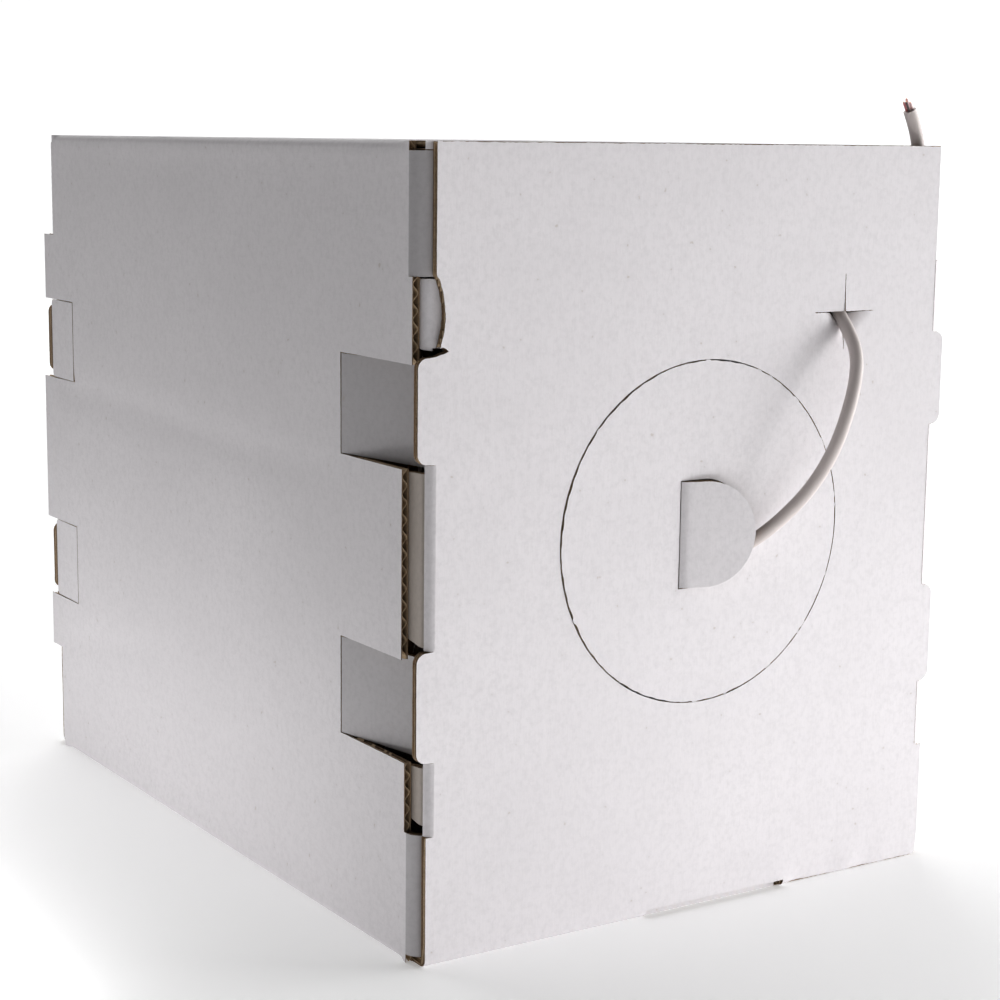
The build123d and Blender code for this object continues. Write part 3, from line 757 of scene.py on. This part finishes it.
def make_wall(side):
    s = SIDES[side]
    shape = Shape()
    front = [(FRONT + y, z) for z0, z1, y in wall_edge("front") for z in (z0, z1)]
    back = [(HALF_DEPTH - y, z) for z0, z1, y in wall_edge("back") for z in (z0, z1)]
    corners = front + back[::-1]

    def keep(loop):
        # The long folds and the corner bends aren't cut, so they stay clean.
        folded = (loop[:, 1] < 0.5) | (loop[:, 1] > HEIGHT - 0.5)
        flanged = (loop[:, 1] < FLANGE_TOP) | (loop[:, 1] > FLANGE_BOTTOM)
        at_bend = (np.abs(np.abs(loop[:, 0]) - BEND) < 0.3) & flanged
        return np.where(folded | at_bend, 0.0, 1.0)

    outline = outer_loop(corners)
    add_board(shape, [outline], wall_place(s), 1, 100 + s, keep=keep, spacing=5.0, rows=ROLL_ROWS + TOP_ROWS)
    arc = (FOLD - BOARD / 2) * math.pi / 2
    for end, e in ENDS.items():
        levels = {"lower": (PANEL_BACK, FLANGE_TOP), "upper": (FLANGE_BOTTOM, HEIGHT - PANEL_BACK)}
        for level, (low, high) in levels.items():
            length = 1.5 if (side, end, level) == ("right", "front", "upper") else 14.0
            loop = outer_loop([(0, low), (arc + length, low), (arc + length, high), (0, high)], 0.8)
            # The front flanges' outer face takes the darker liner: painted shade.
            add_board(
                shape, [loop], corner_place(s, e), 1, 140 + s * 7 + e * 3,
                keep=lambda p: np.where(p[:, 0] < 0.05, 0.0, 1.0), spacing=1.6, folds=((0.0, arc),),
                paints=(PAINTED_SHADE_FACE if end == "front" else 0, 1, 2, 3),
            )
    return shape.make(f"{side}_side_wall", "carton", [f"{side}_wall"], WALL_MATERIALS)


def flat_place(z, sign):
    """A level sheet whose outer face is at z: sign is 1 for a face that looks up."""

    def place(u, v, h):
        return np.stack([u, v, z - sign * h], axis=1)

    return place


def make_level_panels():
    depth = HALF_DEPTH - PANEL_BACK
    for name, z, sign in (("top_panel", HEIGHT, 1), ("bottom_panel", 0.0, -1)):
        corners = [(-INNER_X, -depth), (INNER_X, -depth), (INNER_X, depth), (-INNER_X, depth)]
        if sign > 0:
            y = 7.6 - depth
            corners[1:1] = [(108.9, -depth), (108.9, y), (116.9, y), (116.9, -depth)]
        shape = Shape()

        def keep(loop, depth=depth):
            # The long folds run clean between the corners.
            folded = (np.abs(np.abs(loop[:, 0]) - INNER_X) < 0.2) & (np.abs(loop[:, 1]) < depth - 6.0)
            return np.where(folded, 0.0, 1.0)

        add_board(shape, [outer_loop(corners)], flat_place(z, sign), 0, 200 + sign, keep=keep, spacing=8.0)
        # The white liner wraps the front edge, below in the front panel's notch and above at the left corner.
        ends = (NOTCH[0] + 0.4, NOTCH[1] - 2.4, 0.05, BOARD)
        if sign > 0:
            ends = (0.1 - INNER_X, 7.0 - INNER_X, HEIGHT - BOARD + 0.1, HEIGHT - 0.02)
        add_strip(shape, ends[:2], (-depth - 0.22, -depth - 0.02), ends[2:])
        shape.make(name + "_board", "carton", [name], BOARD_MATERIALS)


def make_glue_flap():
    low, high = cad("glue_flap")
    c = 8.0  # the cut across each free corner
    corners = [
        (low[0], low[1]), (high[0] - c, low[1]), (high[0], low[1] + c),
        (high[0], high[1] - c), (high[0] - c, high[1]), (low[0], high[1]),
    ]
    shape = Shape()
    add_board(shape, [outer_loop(corners)], flat_place(high[2], 1), 0, 220)
    shape.make("glue_flap_board", "carton", ["glue_flap"], BROWN_MATERIALS)


def tab_place(s, e, low, high, end):
    pushed = math.radians(TAB_PUSHED[end])
    start = np.array([s * INNER_X, e * (HALF_DEPTH - TAB_CREASE[end]), 0.0])
    along = np.array([-s * math.sin(pushed), e * math.cos(pushed), 0.0])
    out = np.array([s * math.cos(pushed), e * math.sin(pushed), 0.0])

    def place(u, v, h):
        p = start + u[:, None] * along + (BOARD - h)[:, None] * out
        p[:, 2] = v
        return p

    return place


def make_lock_tabs():
    for side, s in SIDES.items():
        for end, e in ENDS.items():
            length = TAB_CREASE[end] - TAB_END[end]
            for level, (low, high) in TABS.items():
                corners = rounded(
                    [(0.15, low + 0.25), (length, low + 0.25), (length, high - 0.25), (0.15, high - 0.25)],
                    (0, 2.0, 2.0, 0), 5,
                )
                shape = Shape()
                add_board(
                    shape, [outer_loop(corners, 1.0)], tab_place(s, e, low, high, end), 1,
                    300 + s * 17 + e * 5 + int(low), rough=0.14, spacing=5.0,
                )
                tab = f"lock_tab_{side}_{end}_{level}"
                # The front tabs take the darkened liner: painted shade where they sit recessed.
                materials = TAB_MATERIALS if end == "front" else BOARD_MATERIALS
                shape.make(f"tab_{side}_{end}_{level}", tab, [tab], materials)


# ---- front and back panels

EARS = {"front": {"lower": (78.0, 119.0), "upper": (HEIGHT - 113.0, HEIGHT - 75.0)}}
EARS["back"] = {k: (low + 2.5, high - 2.5) for k, (low, high) in TABS.items()}
PROUD = {("left", "front"): 1.4, ("right", "front"): -0.5, ("left", "back"): 0.0, ("right", "back"): 0.0}
EAR_CORNER = 4.0
CREASE_X = HALF_WIDTH - 3.3
ROLL = 3.0
TORN_TOP = HEIGHT - 46.0
DISC = (2.2, HEIGHT / 2 + 1.7)
DISC_RADIUS = 67.0
SLIT = (70.4, HEIGHT - 65.2)
SLIT_HALF = (15.5, 15.2)


def panel_sag(u, v, e):
    """How far an end panel's face sinks, which its disc and slit quarters follow."""
    return 0.22 * smooth_noise(u, v, 31 + e, 190.0)


def panel_place(e, crush=0.0):
    """An end panel's sheet. Its bottom edge rolls under into the crease."""

    def place(u, v, h):
        d = panel_sag(u, v, e)
        if crush:
            near = np.exp(-((v - 4.0) / 5.0) ** 2) * np.clip((u - NOTCH[1]) / 6.0, 0, 1)
            d = d + crush * near * smooth_noise(u, v * 0.4, 77, 9.0)
        h = h + np.clip(d, 0, 1.6) * (1 - h / BOARD)
        angle = np.clip((BOARD - v) / BOARD, 0, 1) * math.pi / 2
        y = HALF_DEPTH - BOARD + (BOARD - h) * np.cos(angle)
        z = np.where(v < BOARD, BOARD - (BOARD - h) * np.sin(angle), v)
        return np.stack([u, e * y, z], axis=1)

    return place


def roll_place(s, e):
    """The rounded side crease of an end panel: u goes from the flat face around the corner."""

    def place(u, v, h):
        angle = np.clip(u / 4.0, 0, 1) * math.pi / 2
        x = CREASE_X - ROLL + (ROLL - h) * np.sin(angle)
        y = HALF_DEPTH - ROLL + (ROLL - h) * np.cos(angle)
        return np.stack([s * x, e * y, v], axis=1)

    return place


def panel_side(side, end):
    """One side edge of an end panel from the bottom up, with its ears."""
    half = HALF_WIDTH
    flat = CREASE_X - ROLL
    ear = half + PROUD[side, end]
    (l0, l1), (u0, u1) = EARS[end]["lower"], EARS[end]["upper"]
    torn = (side, end) == ("left", "front")
    top = half - 8.0 if torn else flat
    points = [
        (half - 2.8, 0), (half - 2.8, FLANGE_TOP), (flat, FLANGE_TOP), (flat, l0 - 0.3),
        (CREASE_X, l0), (ear, l0), (ear, l1), (CREASE_X, l1), (flat, l1 + 0.3), (flat, u0 - 0.3),
        (CREASE_X, u0), (ear, u0), (ear, u1), (CREASE_X, u1), (top, u1 + 0.3), (top, TORN_TOP),
        (half - 6.0, TORN_TOP), (half - 6.0, HEIGHT),
    ]
    radii = [0] * len(points)
    for i in (5, 6, 11, 12):
        radii[i] = EAR_CORNER
    if torn:
        # The upper crease has split here, and the face's edge bulges away from the corner.
        bulge = [
            (top + 2.0 - 3.6 * math.sin(math.pi * f) ** 0.8, u1 + 0.3 + (TORN_TOP - u1 - 0.3) * f)
            for f in np.linspace(0, 1, 12)
        ]
        bulge[1:1] = [(top - 3.2, u1 + 2.0), (top - 1.0, u1 + 3.2)]
        points[14:16] = bulge
        radii[14:16] = [0] * len(bulge)
    return points, radii


def panel_outline(end):
    right, right_radii = panel_side("right", end)
    left, left_radii = panel_side("left", end)
    left = [(-x, z) for x, z in left]
    notch = [(NOTCH[0], 0), (NOTCH[0], BOARD), (NOTCH[1], BOARD), (NOTCH[1], 0)]
    corners = notch + right + left[::-1]
    radii = [0] * len(notch) + right_radii + left_radii[::-1]
    return outer_loop(rounded(corners, radii), 1.2)


def circle_points(centre, radius, count):
    """Points round a circle, with radius a number or a function of the angle."""
    out = []
    for k in range(count):
        t = 2 * math.pi * k / count
        r = radius(t) if callable(radius) else radius
        out.append((centre[0] + r * math.cos(t), centre[1] + r * math.sin(t)))
    return out


def panel_keep(end):
    def keep(loop):
        at_crease = np.abs(np.abs(loop[:, 0]) - (CREASE_X - ROLL)) < 0.2
        at_bottom = loop[:, 1] < 0.3
        torn = (end == "front") & (loop[:, 0] < 0) & (np.abs(loop[:, 0] + HALF_WIDTH - 9.0) < 3.5)
        torn = torn & (loop[:, 1] > EARS["front"]["upper"][1] + 1.0) & (loop[:, 1] < TORN_TOP - 1.0)
        diamond = np.abs(loop[:, 0] - SLIT[0]) / SLIT_HALF[0] + np.abs(loop[:, 1] - SLIT[1]) / SLIT_HALF[1]
        hinged = (end == "front") & (np.abs(diamond - 1) < 0.02)
        k = np.where(at_crease | at_bottom | hinged, 0.0, 1.0)
        k = np.where(loop[:, 1] > HEIGHT - 0.2, 3.0, k)
        return np.where(torn, 3.0, k)

    return keep


def add_side_rolls(shape, end):
    e = ENDS[end]
    (l0, l1), (u0, u1) = EARS[end]["lower"], EARS[end]["upper"]
    for side, s in SIDES.items():
        bands = [(FLANGE_TOP, l0 - 0.3), (l1 + 0.3, u0 - 0.3)]
        if (side, end) != ("left", "front"):
            bands.append((u1 + 0.3, TORN_TOP))
        for low, high in bands:
            loop = outer_loop([(0, low), (4.0, low), (4.0, high), (0, high)], 0.7)
            place = roll_place(s, e)
            add_sheet(shape, [loop], place, 0.0, LINER, 1.4, (0, 1, 2))
            add_sheet(shape, [loop], place, BOARD - LINER - 0.6, BOARD - 0.6, 1.4, (1, 1, 2))


def make_front_panel():
    shape = Shape()
    disc_hole = hole_loop(circle_points(DISC, DISC_RADIUS + 0.12, 330), 1.5)
    slit_hole = hole_loop(
        [(SLIT[0] - SLIT_HALF[0], SLIT[1]), (SLIT[0], SLIT[1] - SLIT_HALF[1]),
         (SLIT[0] + SLIT_HALF[0], SLIT[1]), (SLIT[0], SLIT[1] + SLIT_HALF[1])], 1.3,
    )
    place = panel_place(-1, 1.4)
    loops = [panel_outline("front"), disc_hole, slit_hole]
    add_board(
        shape, loops, place, 0, 400, rough=0.15, keep=panel_keep("front"), spacing=5.0, rows=ROLL_ROWS,
    )
    add_side_rolls(shape, "front")
    return shape.make("front_board", "front_panel", ["front_panel"], PANEL_MATERIALS)


def make_back_panel():
    shape = Shape()
    add_board(
        shape, [panel_outline("back")], panel_place(1), 0, 430, rough=0.13, keep=panel_keep("back"),
        rows=ROLL_ROWS,
    )
    add_side_rolls(shape, "back")
    return shape.make("back_board", "back_panel", ["back_panel"], PANEL_MATERIALS)


TIES = (5, 62, 90, 140, 205, 268, 318)
DEE_X, DEE_ARC_X, DEE_RADIUS = -9.4, 1.6, 21.0


def dee_points(inset, radius=DEE_RADIUS):
    """The D outline about its hinge's middle, shrunk by an inset."""
    arc = DEE_ARC_X - DEE_X
    r = radius - inset
    return [(inset, -r), (arc, -r)] + [
        (arc + r * math.cos(t), r * math.sin(t)) for t in np.linspace(-math.pi / 2, math.pi / 2, 60)[1:-1]
    ] + [(arc, r), (inset, r)]


def make_disc():
    """The knock-out disc, held by a few uncut ties and standing a hair proud on its left."""

    def edge(t):
        degrees = math.degrees(t) % 360
        tied = any(abs((degrees - a + 180) % 360 - 180) < 0.75 for a in TIES)
        if tied:
            return DISC_RADIUS + 0.10
        left = 0.5 - 0.5 * math.cos(t)
        uneven = 0.5 + 0.28 * math.sin(9 * t + 1.0) + 0.22 * math.sin(23 * t + 0.4) + 0.3 * math.sin(61 * t)
        closed = math.sin(37 * t + 2.0) + math.sin(17 * t) > 1.25 + 1.6 * left
        return DISC_RADIUS + 0.08 if closed else DISC_RADIUS - 0.10 - (0.12 + 0.34 * left) * max(uneven, 0.1)

    def place(u, v, h):
        h = h + panel_sag(u, v, ENDS["front"]) * (1 - h / BOARD)
        proud = 0.35 * np.clip((DISC[0] - u) / DISC_RADIUS, 0, 1)
        return np.stack([u, -(HALF_DEPTH - h + proud), v], axis=1)

    rim = outer_loop(circle_points(DISC, edge, 560), 1.5)
    dee = hole_loop([(DEE_X + x, DISC[1] + z) for x, z in dee_points(-0.05)], 0.9)
    shape = Shape()

    def keep(loop):
        radius = np.hypot(loop[:, 0] - DISC[0], loop[:, 1] - DISC[1])
        return np.where(radius > DISC_RADIUS - 0.02, 0.0, 1.0)

    add_board(shape, [rim, dee], place, 0, 460, rough=0.16, keep=keep)
    return shape.make("knock_out_disc", "front_panel", ["knockout_disc"], PANEL_MATERIALS)


def make_pull_flap():
    """The D flap, bent sharply at its crushed hinge and then nearly flat."""
    first, second, strip = math.radians(36.0), math.radians(14.6), 2.6

    def place(u, v, h):
        squeezed = np.clip(1 - u / strip, 0, 1)
        near = np.minimum(u, strip)
        far = np.clip(u - strip, 0, None)
        turn = np.clip((u - strip + 0.8) / 1.6, 0, 1)
        angle = first * (1 - turn) + second * turn
        x = near * math.cos(first) + far * math.cos(second)
        y = near * math.sin(first) + far * math.sin(second)
        h = h + 0.25 * squeezed * (1 - h / BOARD)
        h = h + 0.10 * smooth_noise(u, v, 52, 30.0) * (1 - h / BOARD)
        return np.stack([DEE_X + x + h * np.sin(angle), FRONT - y + h * np.cos(angle), DISC[1] + v], axis=1)

    def keep(loop):
        return np.where(loop[:, 0] < 0.4, 0.0, 1.0)

    shape = Shape()
    add_board(shape, [outer_loop(dee_points(0.22), 0.9)], place, 0, 480, rough=0.22, spacing=1.6, keep=keep)
    return shape.make("pull_flap_board", "pull_flap", ["pull_flap"], PANEL_MATERIALS)


def make_slit_flaps():
    """The four quarters of the cross-slit: flush above, curled in below where the cable passes."""
    curls = {
        ("left", "upper"): 1.0, ("right", "upper"): 7.0,
        ("left", "lower"): -84.0, ("right", "lower"): -76.0,
    }
    steps, power = 13, 1.3
    for (side, level), end in curls.items():
        s, up_sign = SIDES[side], 1 if level == "upper" else -1
        across = Vector((s * SLIT_HALF[0], 0, 0))
        along = Vector((0, 0, up_sign * SLIT_HALF[1]))
        outward = Vector((0, -1, 0))
        hinge = (along - across).normalized()
        to_tip = hinge.cross(outward) * (-s * up_sign)
        middle = Vector((SLIT[0], FRONT, SLIT[1])) + (across + along) * 0.5
        tip = (across + along) * -0.5
        x_dir = to_tip.cross(outward)
        flat = [(p.dot(x_dir), p.dot(to_tip)) for p in ((across - along) * 0.5, (along - across) * 0.5, tip)]
        reach = flat[2][1]
        base, ax, at, ao = (np.array(v) for v in (middle, x_dir, to_tip, outward))
        last = math.radians(end)

        def place(u, v, h, base=base, ax=ax, at=at, ao=ao, last=last, reach=reach):
            # The flap leaves the panel's face smoothly and bends most towards its tip.
            f = np.clip(v / reach, 0, 1)[:, None] * np.linspace(0, 1, steps)[None, :]
            turn = last * f**power
            step = np.clip(v, 0, None) / steps
            forth, out = np.cos(turn).sum(axis=1) * step, np.sin(turn).sum(axis=1) * step
            lean = last * np.clip(v / reach, 0, 1) ** power
            at_panel = base + u[:, None] * ax + v[:, None] * at
            sag = panel_sag(at_panel[:, 0], at_panel[:, 2], ENDS["front"]) * (1 - h / BOARD)
            depth = h * np.clip(1 - 0.35 * np.clip(v / reach, 0, 1), 0, 1)
            soft = np.clip(v / 1.2, 0, 1)
            return (
                base + u[:, None] * ax + (forth + depth * np.sin(lean) * soft)[:, None] * at
                + (out - sag - depth * np.cos(lean))[:, None] * ao
            )

        def keep(loop):
            return np.where(loop[:, 1] < 0.06, 0.0, 1.0)

        shape = Shape()
        seed = 500 + s * 3 + up_sign
        add_board(shape, [outer_loop(flat, 0.7)], place, 0, seed, rough=0.26, spacing=1.5, keep=keep)
        name = f"slit_flap_{side}_{level}"
        shape.make(f"quarter_{side}_{level}", name, [name], PANEL_MATERIALS)


def make_tucks():
    """Fingers that turn back from the side creases, each with a rounded leading edge."""
    feet = {"lower": FLANGE_TOP + 3.0, "middle": 119.5, "upper": HEIGHT - 73.0}
    ceilings = {"lower": TABS["lower"][0], "middle": TABS["upper"][0], "upper": FLANGE_BOTTOM}
    root, tip = PANEL_BACK, 30.0
    for side, s in SIDES.items():
        for end, e in ENDS.items():

            def place(u, v, h, s=s, e=e):
                angle = np.clip((root + ROLL - u) / ROLL, 0, 1) * math.pi / 2
                x = np.where(u < root + ROLL, CREASE_X - ROLL + (ROLL - h) * np.cos(angle), CREASE_X - h)
                y = np.where(u < root + ROLL, root + ROLL - (ROLL - h) * np.sin(angle), u)
                return np.stack([s * x, e * (HALF_DEPTH - y), v], axis=1)

            shape = Shape()
            for k, (name, foot) in enumerate(feet.items()):
                reach = ceilings[name] - 0.6
                arc = (tip, 25.0, 20.0, 15.0, 10.0, root)
                top = [(u, min(ceilings[name], math.sqrt(reach * reach - u * u))) for u in arc]
                corners = [(root, foot), (tip, foot + 5.0)] + top
                # The lower and middle front fingers take the brown-grey liner: painted shade.
                add_board(
                    shape, [outer_loop(corners, 0.9)], place, 0, 520 + k + s * 5 + e * 11,
                    rough=0.14, spacing=2.6, keep=lambda p: np.where(p[:, 0] < root + 0.1, 0.0, 1.0),
                    columns=tuple(root + 0.5 * i for i in range(1, 7)),
                    paints=(0 if name == "upper" or end == "back" else PAINTED_SHADE_FACE, 1, 2, 3),
                )
            if (side, end) == ("left", "front"):
                # Where the panel's crease is torn, the finger's liner shows behind it.
                behind = root - HALF_DEPTH
                heights = (feet["upper"] + 1.0, FLANGE_BOTTOM - 0.8)
                add_strip(shape, (-CREASE_X + ROLL, -112.4), (behind, behind + 0.25), heights)
            tuck = f"{end}_tuck_{side}"
            shape.make(f"{end}_fingers_{side}", tuck, [tuck], FINGER_MATERIALS)


# ---- cradle boards


AXLE_HOLE = 16.1


def make_cradles():
    for side, s in SIDES.items():
        low, high = cad(f"cradle_board_{side}")
        c = 25.0  # the cut across each upper corner
        corners = [
            (low[1], low[2]), (high[1], low[2]), (high[1], high[2] - c),
            (high[1] - c, high[2]), (low[1] + c, high[2]), (low[1], high[2] - c),
        ]
        hole = hole_loop(circle_points((0.0, AXLE_Z), AXLE_HOLE, 96), 1.1)
        shape = Shape()
        for ply in range(2):
            face = INNER_X - ply * BOARD

            def place(u, v, h, face=face, s=s):
                return np.stack([s * (face - h), u, v], axis=1)

            seed = 560 + ply + s * 4
            add_board(shape, [outer_loop(corners, 1.6), hole], place, 0, seed, rough=0.1, spacing=12.0)
        shape.make(f"axle_carrier_{side}", "carton", [f"cradle_board_{side}"], BROWN_MATERIALS)


# ---- spool


def make_winding():
    """The wound cable: close turns, a little uneven, on a grooved drum for the layers below."""
    low, high = cad("cable_winding")
    radius = high[2] - AXLE_Z
    r = 2.62
    turns = int((high[0] - low[0] - 0.4) // (2 * r + 0.02))
    per_turn, ring = 84, 10
    rng = np.random.default_rng(8)
    shape = Shape()
    pitch = (high[0] - low[0] - 0.4 - 2 * r) / (turns - 1)
    count = int(turns * per_turn - per_turn + 1)
    t = np.arange(count) / per_turn
    wobble = np.interp(t, np.arange(0, turns, 0.5), rng.normal(0, 0.05, len(np.arange(0, turns, 0.5))))
    x = low[0] + 0.2 + r + t * pitch + wobble * np.sin(np.pi * t / t[-1])
    angle = 2 * math.pi * t
    reach = radius - r - 0.03
    points = []
    for k in range(ring):
        a = 2 * math.pi * k / ring
        rr = reach + r * math.cos(a)
        around = [x + r * math.sin(a), rr * np.cos(angle), AXLE_Z + rr * np.sin(angle)]
        points.append(np.stack(around, axis=1))
    points = np.stack(points, axis=1).reshape(-1, 3)
    faces = []
    for i in range(count - 1):
        for k in range(ring):
            a, b = i * ring + k, i * ring + (k + 1) % ring
            faces.append([a, a + ring, b + ring, b])
    faces.append(list(range(ring)))
    faces.append(list(range((count - 1) * ring, count * ring))[::-1])
    points[:, 0] = np.clip(points[:, 0], low[0] + 0.02, high[0] - 0.02)
    shape.add(points, faces, 0)
    # The layers below, as one grooved drum.
    n, m = 96, turns * 4
    inner = cad("spool_barrel")[1][2] - AXLE_Z + 0.35
    xs = np.linspace(low[0] + 0.1, high[0] - 0.1, m + 1)
    ringed = []
    for i, xx in enumerate(xs):
        depth = radius - 2 * r - 0.2 - 0.7 * abs(math.sin(math.pi * i / 4))
        for k in range(n):
            a = 2 * math.pi * k / n
            ringed.append((xx, depth * math.cos(a), AXLE_Z + depth * math.sin(a)))
    for xx in (xs[-1], xs[0]):
        for k in range(n):
            a = 2 * math.pi * k / n
            ringed.append((xx, inner * math.cos(a), AXLE_Z + inner * math.sin(a)))
    faces = []
    rows = m + 3
    for i in range(rows):
        j = (i + 1) % rows
        for k in range(n):
            l = (k + 1) % n
            faces.append([i * n + k, j * n + k, j * n + l, i * n + l])
    shape.add(ringed, faces, 0)
    return shape.make("wound_cable", "spool", ["cable_winding"], [JACKET_WOUND], 40.0)


def make_conductors():
    """Four insulated conductors that stand out of the jacket's cut end, each with its bright cut core."""
    tip, before = CABLE_PLACES[-1] / MM, CABLE_PLACES[-2] / MM
    axis = (tip - before).normalized()
    a = axis.orthogonal().normalized()
    b = axis.cross(a)
    shape = Shape()
    rng = np.random.default_rng(4)
    for index, length in enumerate((5.0, 4.2, 4.6, 3.4)):
        turn = 2 * math.pi * index / 4
        base = tip + (a * math.cos(turn) + b * math.sin(turn)) * 1.15
        lean = (a * rng.normal() + b * rng.normal()) * 0.05
        insulated, core = (0.54, -0.6, length - 0.5, index), (0.24, length - 0.7, length, 4)
        for radius, start, end, paint in (insulated, core):
            rings, sides = 7, 12
            points = []
            for i in range(rings):
                f = i / (rings - 1)
                far = start + (end - start) * f
                centre = base + axis * far + lean * far**2 * 0.16
                for k in range(sides):
                    t = 2 * math.pi * k / sides
                    points.append(centre + (a * math.cos(t) + b * math.sin(t)) * radius)
            faces = [
                [row + k, row + (k + 1) % sides, row + sides + (k + 1) % sides, row + sides + k]
                for row in range(0, (rings - 1) * sides, sides) for k in range(sides)
            ]
            faces.append(list(range(sides))[::-1])
            faces.append(list(range((rings - 1) * sides, rings * sides)))
            shape.add([tuple(p) for p in points], faces, paint)
    wires = [
        insulation("insulation_pink", (0.86, 0.42, 0.44)),
        insulation("insulation_red", (0.80, 0.26, 0.27)),
        insulation("insulation_dark", (0.10, 0.06, 0.06)),
        insulation("insulation_pale", (0.88, 0.60, 0.58)),
        metal("copper_core", (0.80, 0.42, 0.25), 0.3),
    ]
    return shape.make("cut_conductors", "front_panel", ["conductors"], wires)


for side_name in SIDES:
    make_wall(side_name)
make_level_panels()
make_glue_flap()
make_lock_tabs()
make_front_panel()
make_back_panel()
make_disc()
make_pull_flap()
make_slit_flaps()
make_tucks()
make_cradles()
make_winding()
conductors = make_conductors()

# CAD nodes whose shape is right keep their mesh and get a material.
KEPT = {
    "axle_tube": PAPER_TUBE,
    "spool_barrel": PAPER_TUBE,
    "spool_flange_left": SPOOL_BOARD,
    "spool_flange_right": SPOOL_BOARD,
    "hub_bush_left": HUB_PLASTIC,
    "hub_bush_right": HUB_PLASTIC,
    "tie_bolts": STEEL,
    "tie_nuts": STEEL,
}
for node, material in KEPT.items():
    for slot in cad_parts[node].material_slots:
        slot.material = material

# ---- stage and lights

FLOOR_GLOW, BACKDROP_GLOW = 0.28, 0.40


def stage_sheet(name, rows, glow):
    """A strip of the pale studio floor or its backdrop, with a soft glow as from a light table."""
    n = Nodes(name)
    cloud = n.noise(3.0, 2.0, 0.5)
    color = n.ramp(cloud, [(0.3, (0.88, 0.88, 0.88)), (0.7, (0.91, 0.91, 0.91))])
    n.finish(color, 0.85, n.bump(n.noise(80.0), 0.02))
    n.shader.inputs["Emission Color"].default_value = (1.0, 1.0, 1.0, 1.0)
    n.shader.inputs["Emission Strength"].default_value = glow
    mesh = bpy.data.meshes.new(name)
    mesh.from_pydata(rows, [], [[2 * i, 2 * i + 1, 2 * i + 3, 2 * i + 2] for i in range(len(rows) // 2 - 1)])
    mesh.materials.append(n.material)
    mesh.polygons.foreach_set("use_smooth", [True] * len(mesh.polygons))
    sheet = bpy.data.objects.new(name, mesh)
    scene.collection.objects.link(sheet)


def make_stage():
    turn = Matrix.Rotation(math.radians(-33.0), 3, "Z")

    def rows(profile, across=14.0):
        return [turn @ Vector((x, y, z)) for y, z in profile for x in (-across, across)]

    stage_sheet("floor", rows([(-25.0, 0.0), (-1.0, 0.0), (1.4, 0.0)]), FLOOR_GLOW)
    curve = [(1.4 + 1.0 * math.sin(t), 1.0 - 1.0 * math.cos(t)) for t in np.linspace(0, math.pi / 2, 14)]
    stage_sheet("backdrop", rows(curve + [(2.4, 3.5)]), BACKDROP_GLOW)


def area_light(name, place, target, size, power):
    data = bpy.data.lights.new(name, "AREA")
    data.shape = "RECTANGLE"
    data.size, data.size_y = size
    data.energy = power
    light = bpy.data.objects.new(name, data)
    light.location = place
    light.rotation_euler = (Vector(target) - Vector(place)).to_track_quat("-Z", "Y").to_euler()
    light.visible_camera = False
    scene.collection.objects.link(light)


make_stage()
# A soft key low on the right, a faint fill, a wide light above and behind, and strips at the box's foot.
area_light("key", (2.2, -0.9, 0.4), (0, 0, 0.15), (1.7, 1.1), 66.0)
area_light("fill", (-0.3, -2.4, 0.7), (0, 0, 0.15), (1.2, 0.9), 1.5)
area_light("behind", (0.2, 1.4, 2.0), (0, 0, 0.1), (2.0, 1.4), 28.0)
area_light("strip_left", (-0.27, 0.05, 0.02), (0, 0.05, 0.02), (0.40, 0.03), 0.16)
area_light("strip_front", (0.08, -0.45, 0.02), (0.08, 0, 0.02), (0.46, 0.03), 0.36)
world = bpy.data.worlds.new("studio")
world.use_nodes = True
world.node_tree.nodes["Background"].inputs["Color"].default_value = (1.0, 1.0, 1.0, 1.0)
world.node_tree.nodes["Background"].inputs["Strength"].default_value = 0.02
scene.world = world
scene.view_settings.view_transform = "Standard"
scene.view_settings.look = "None"
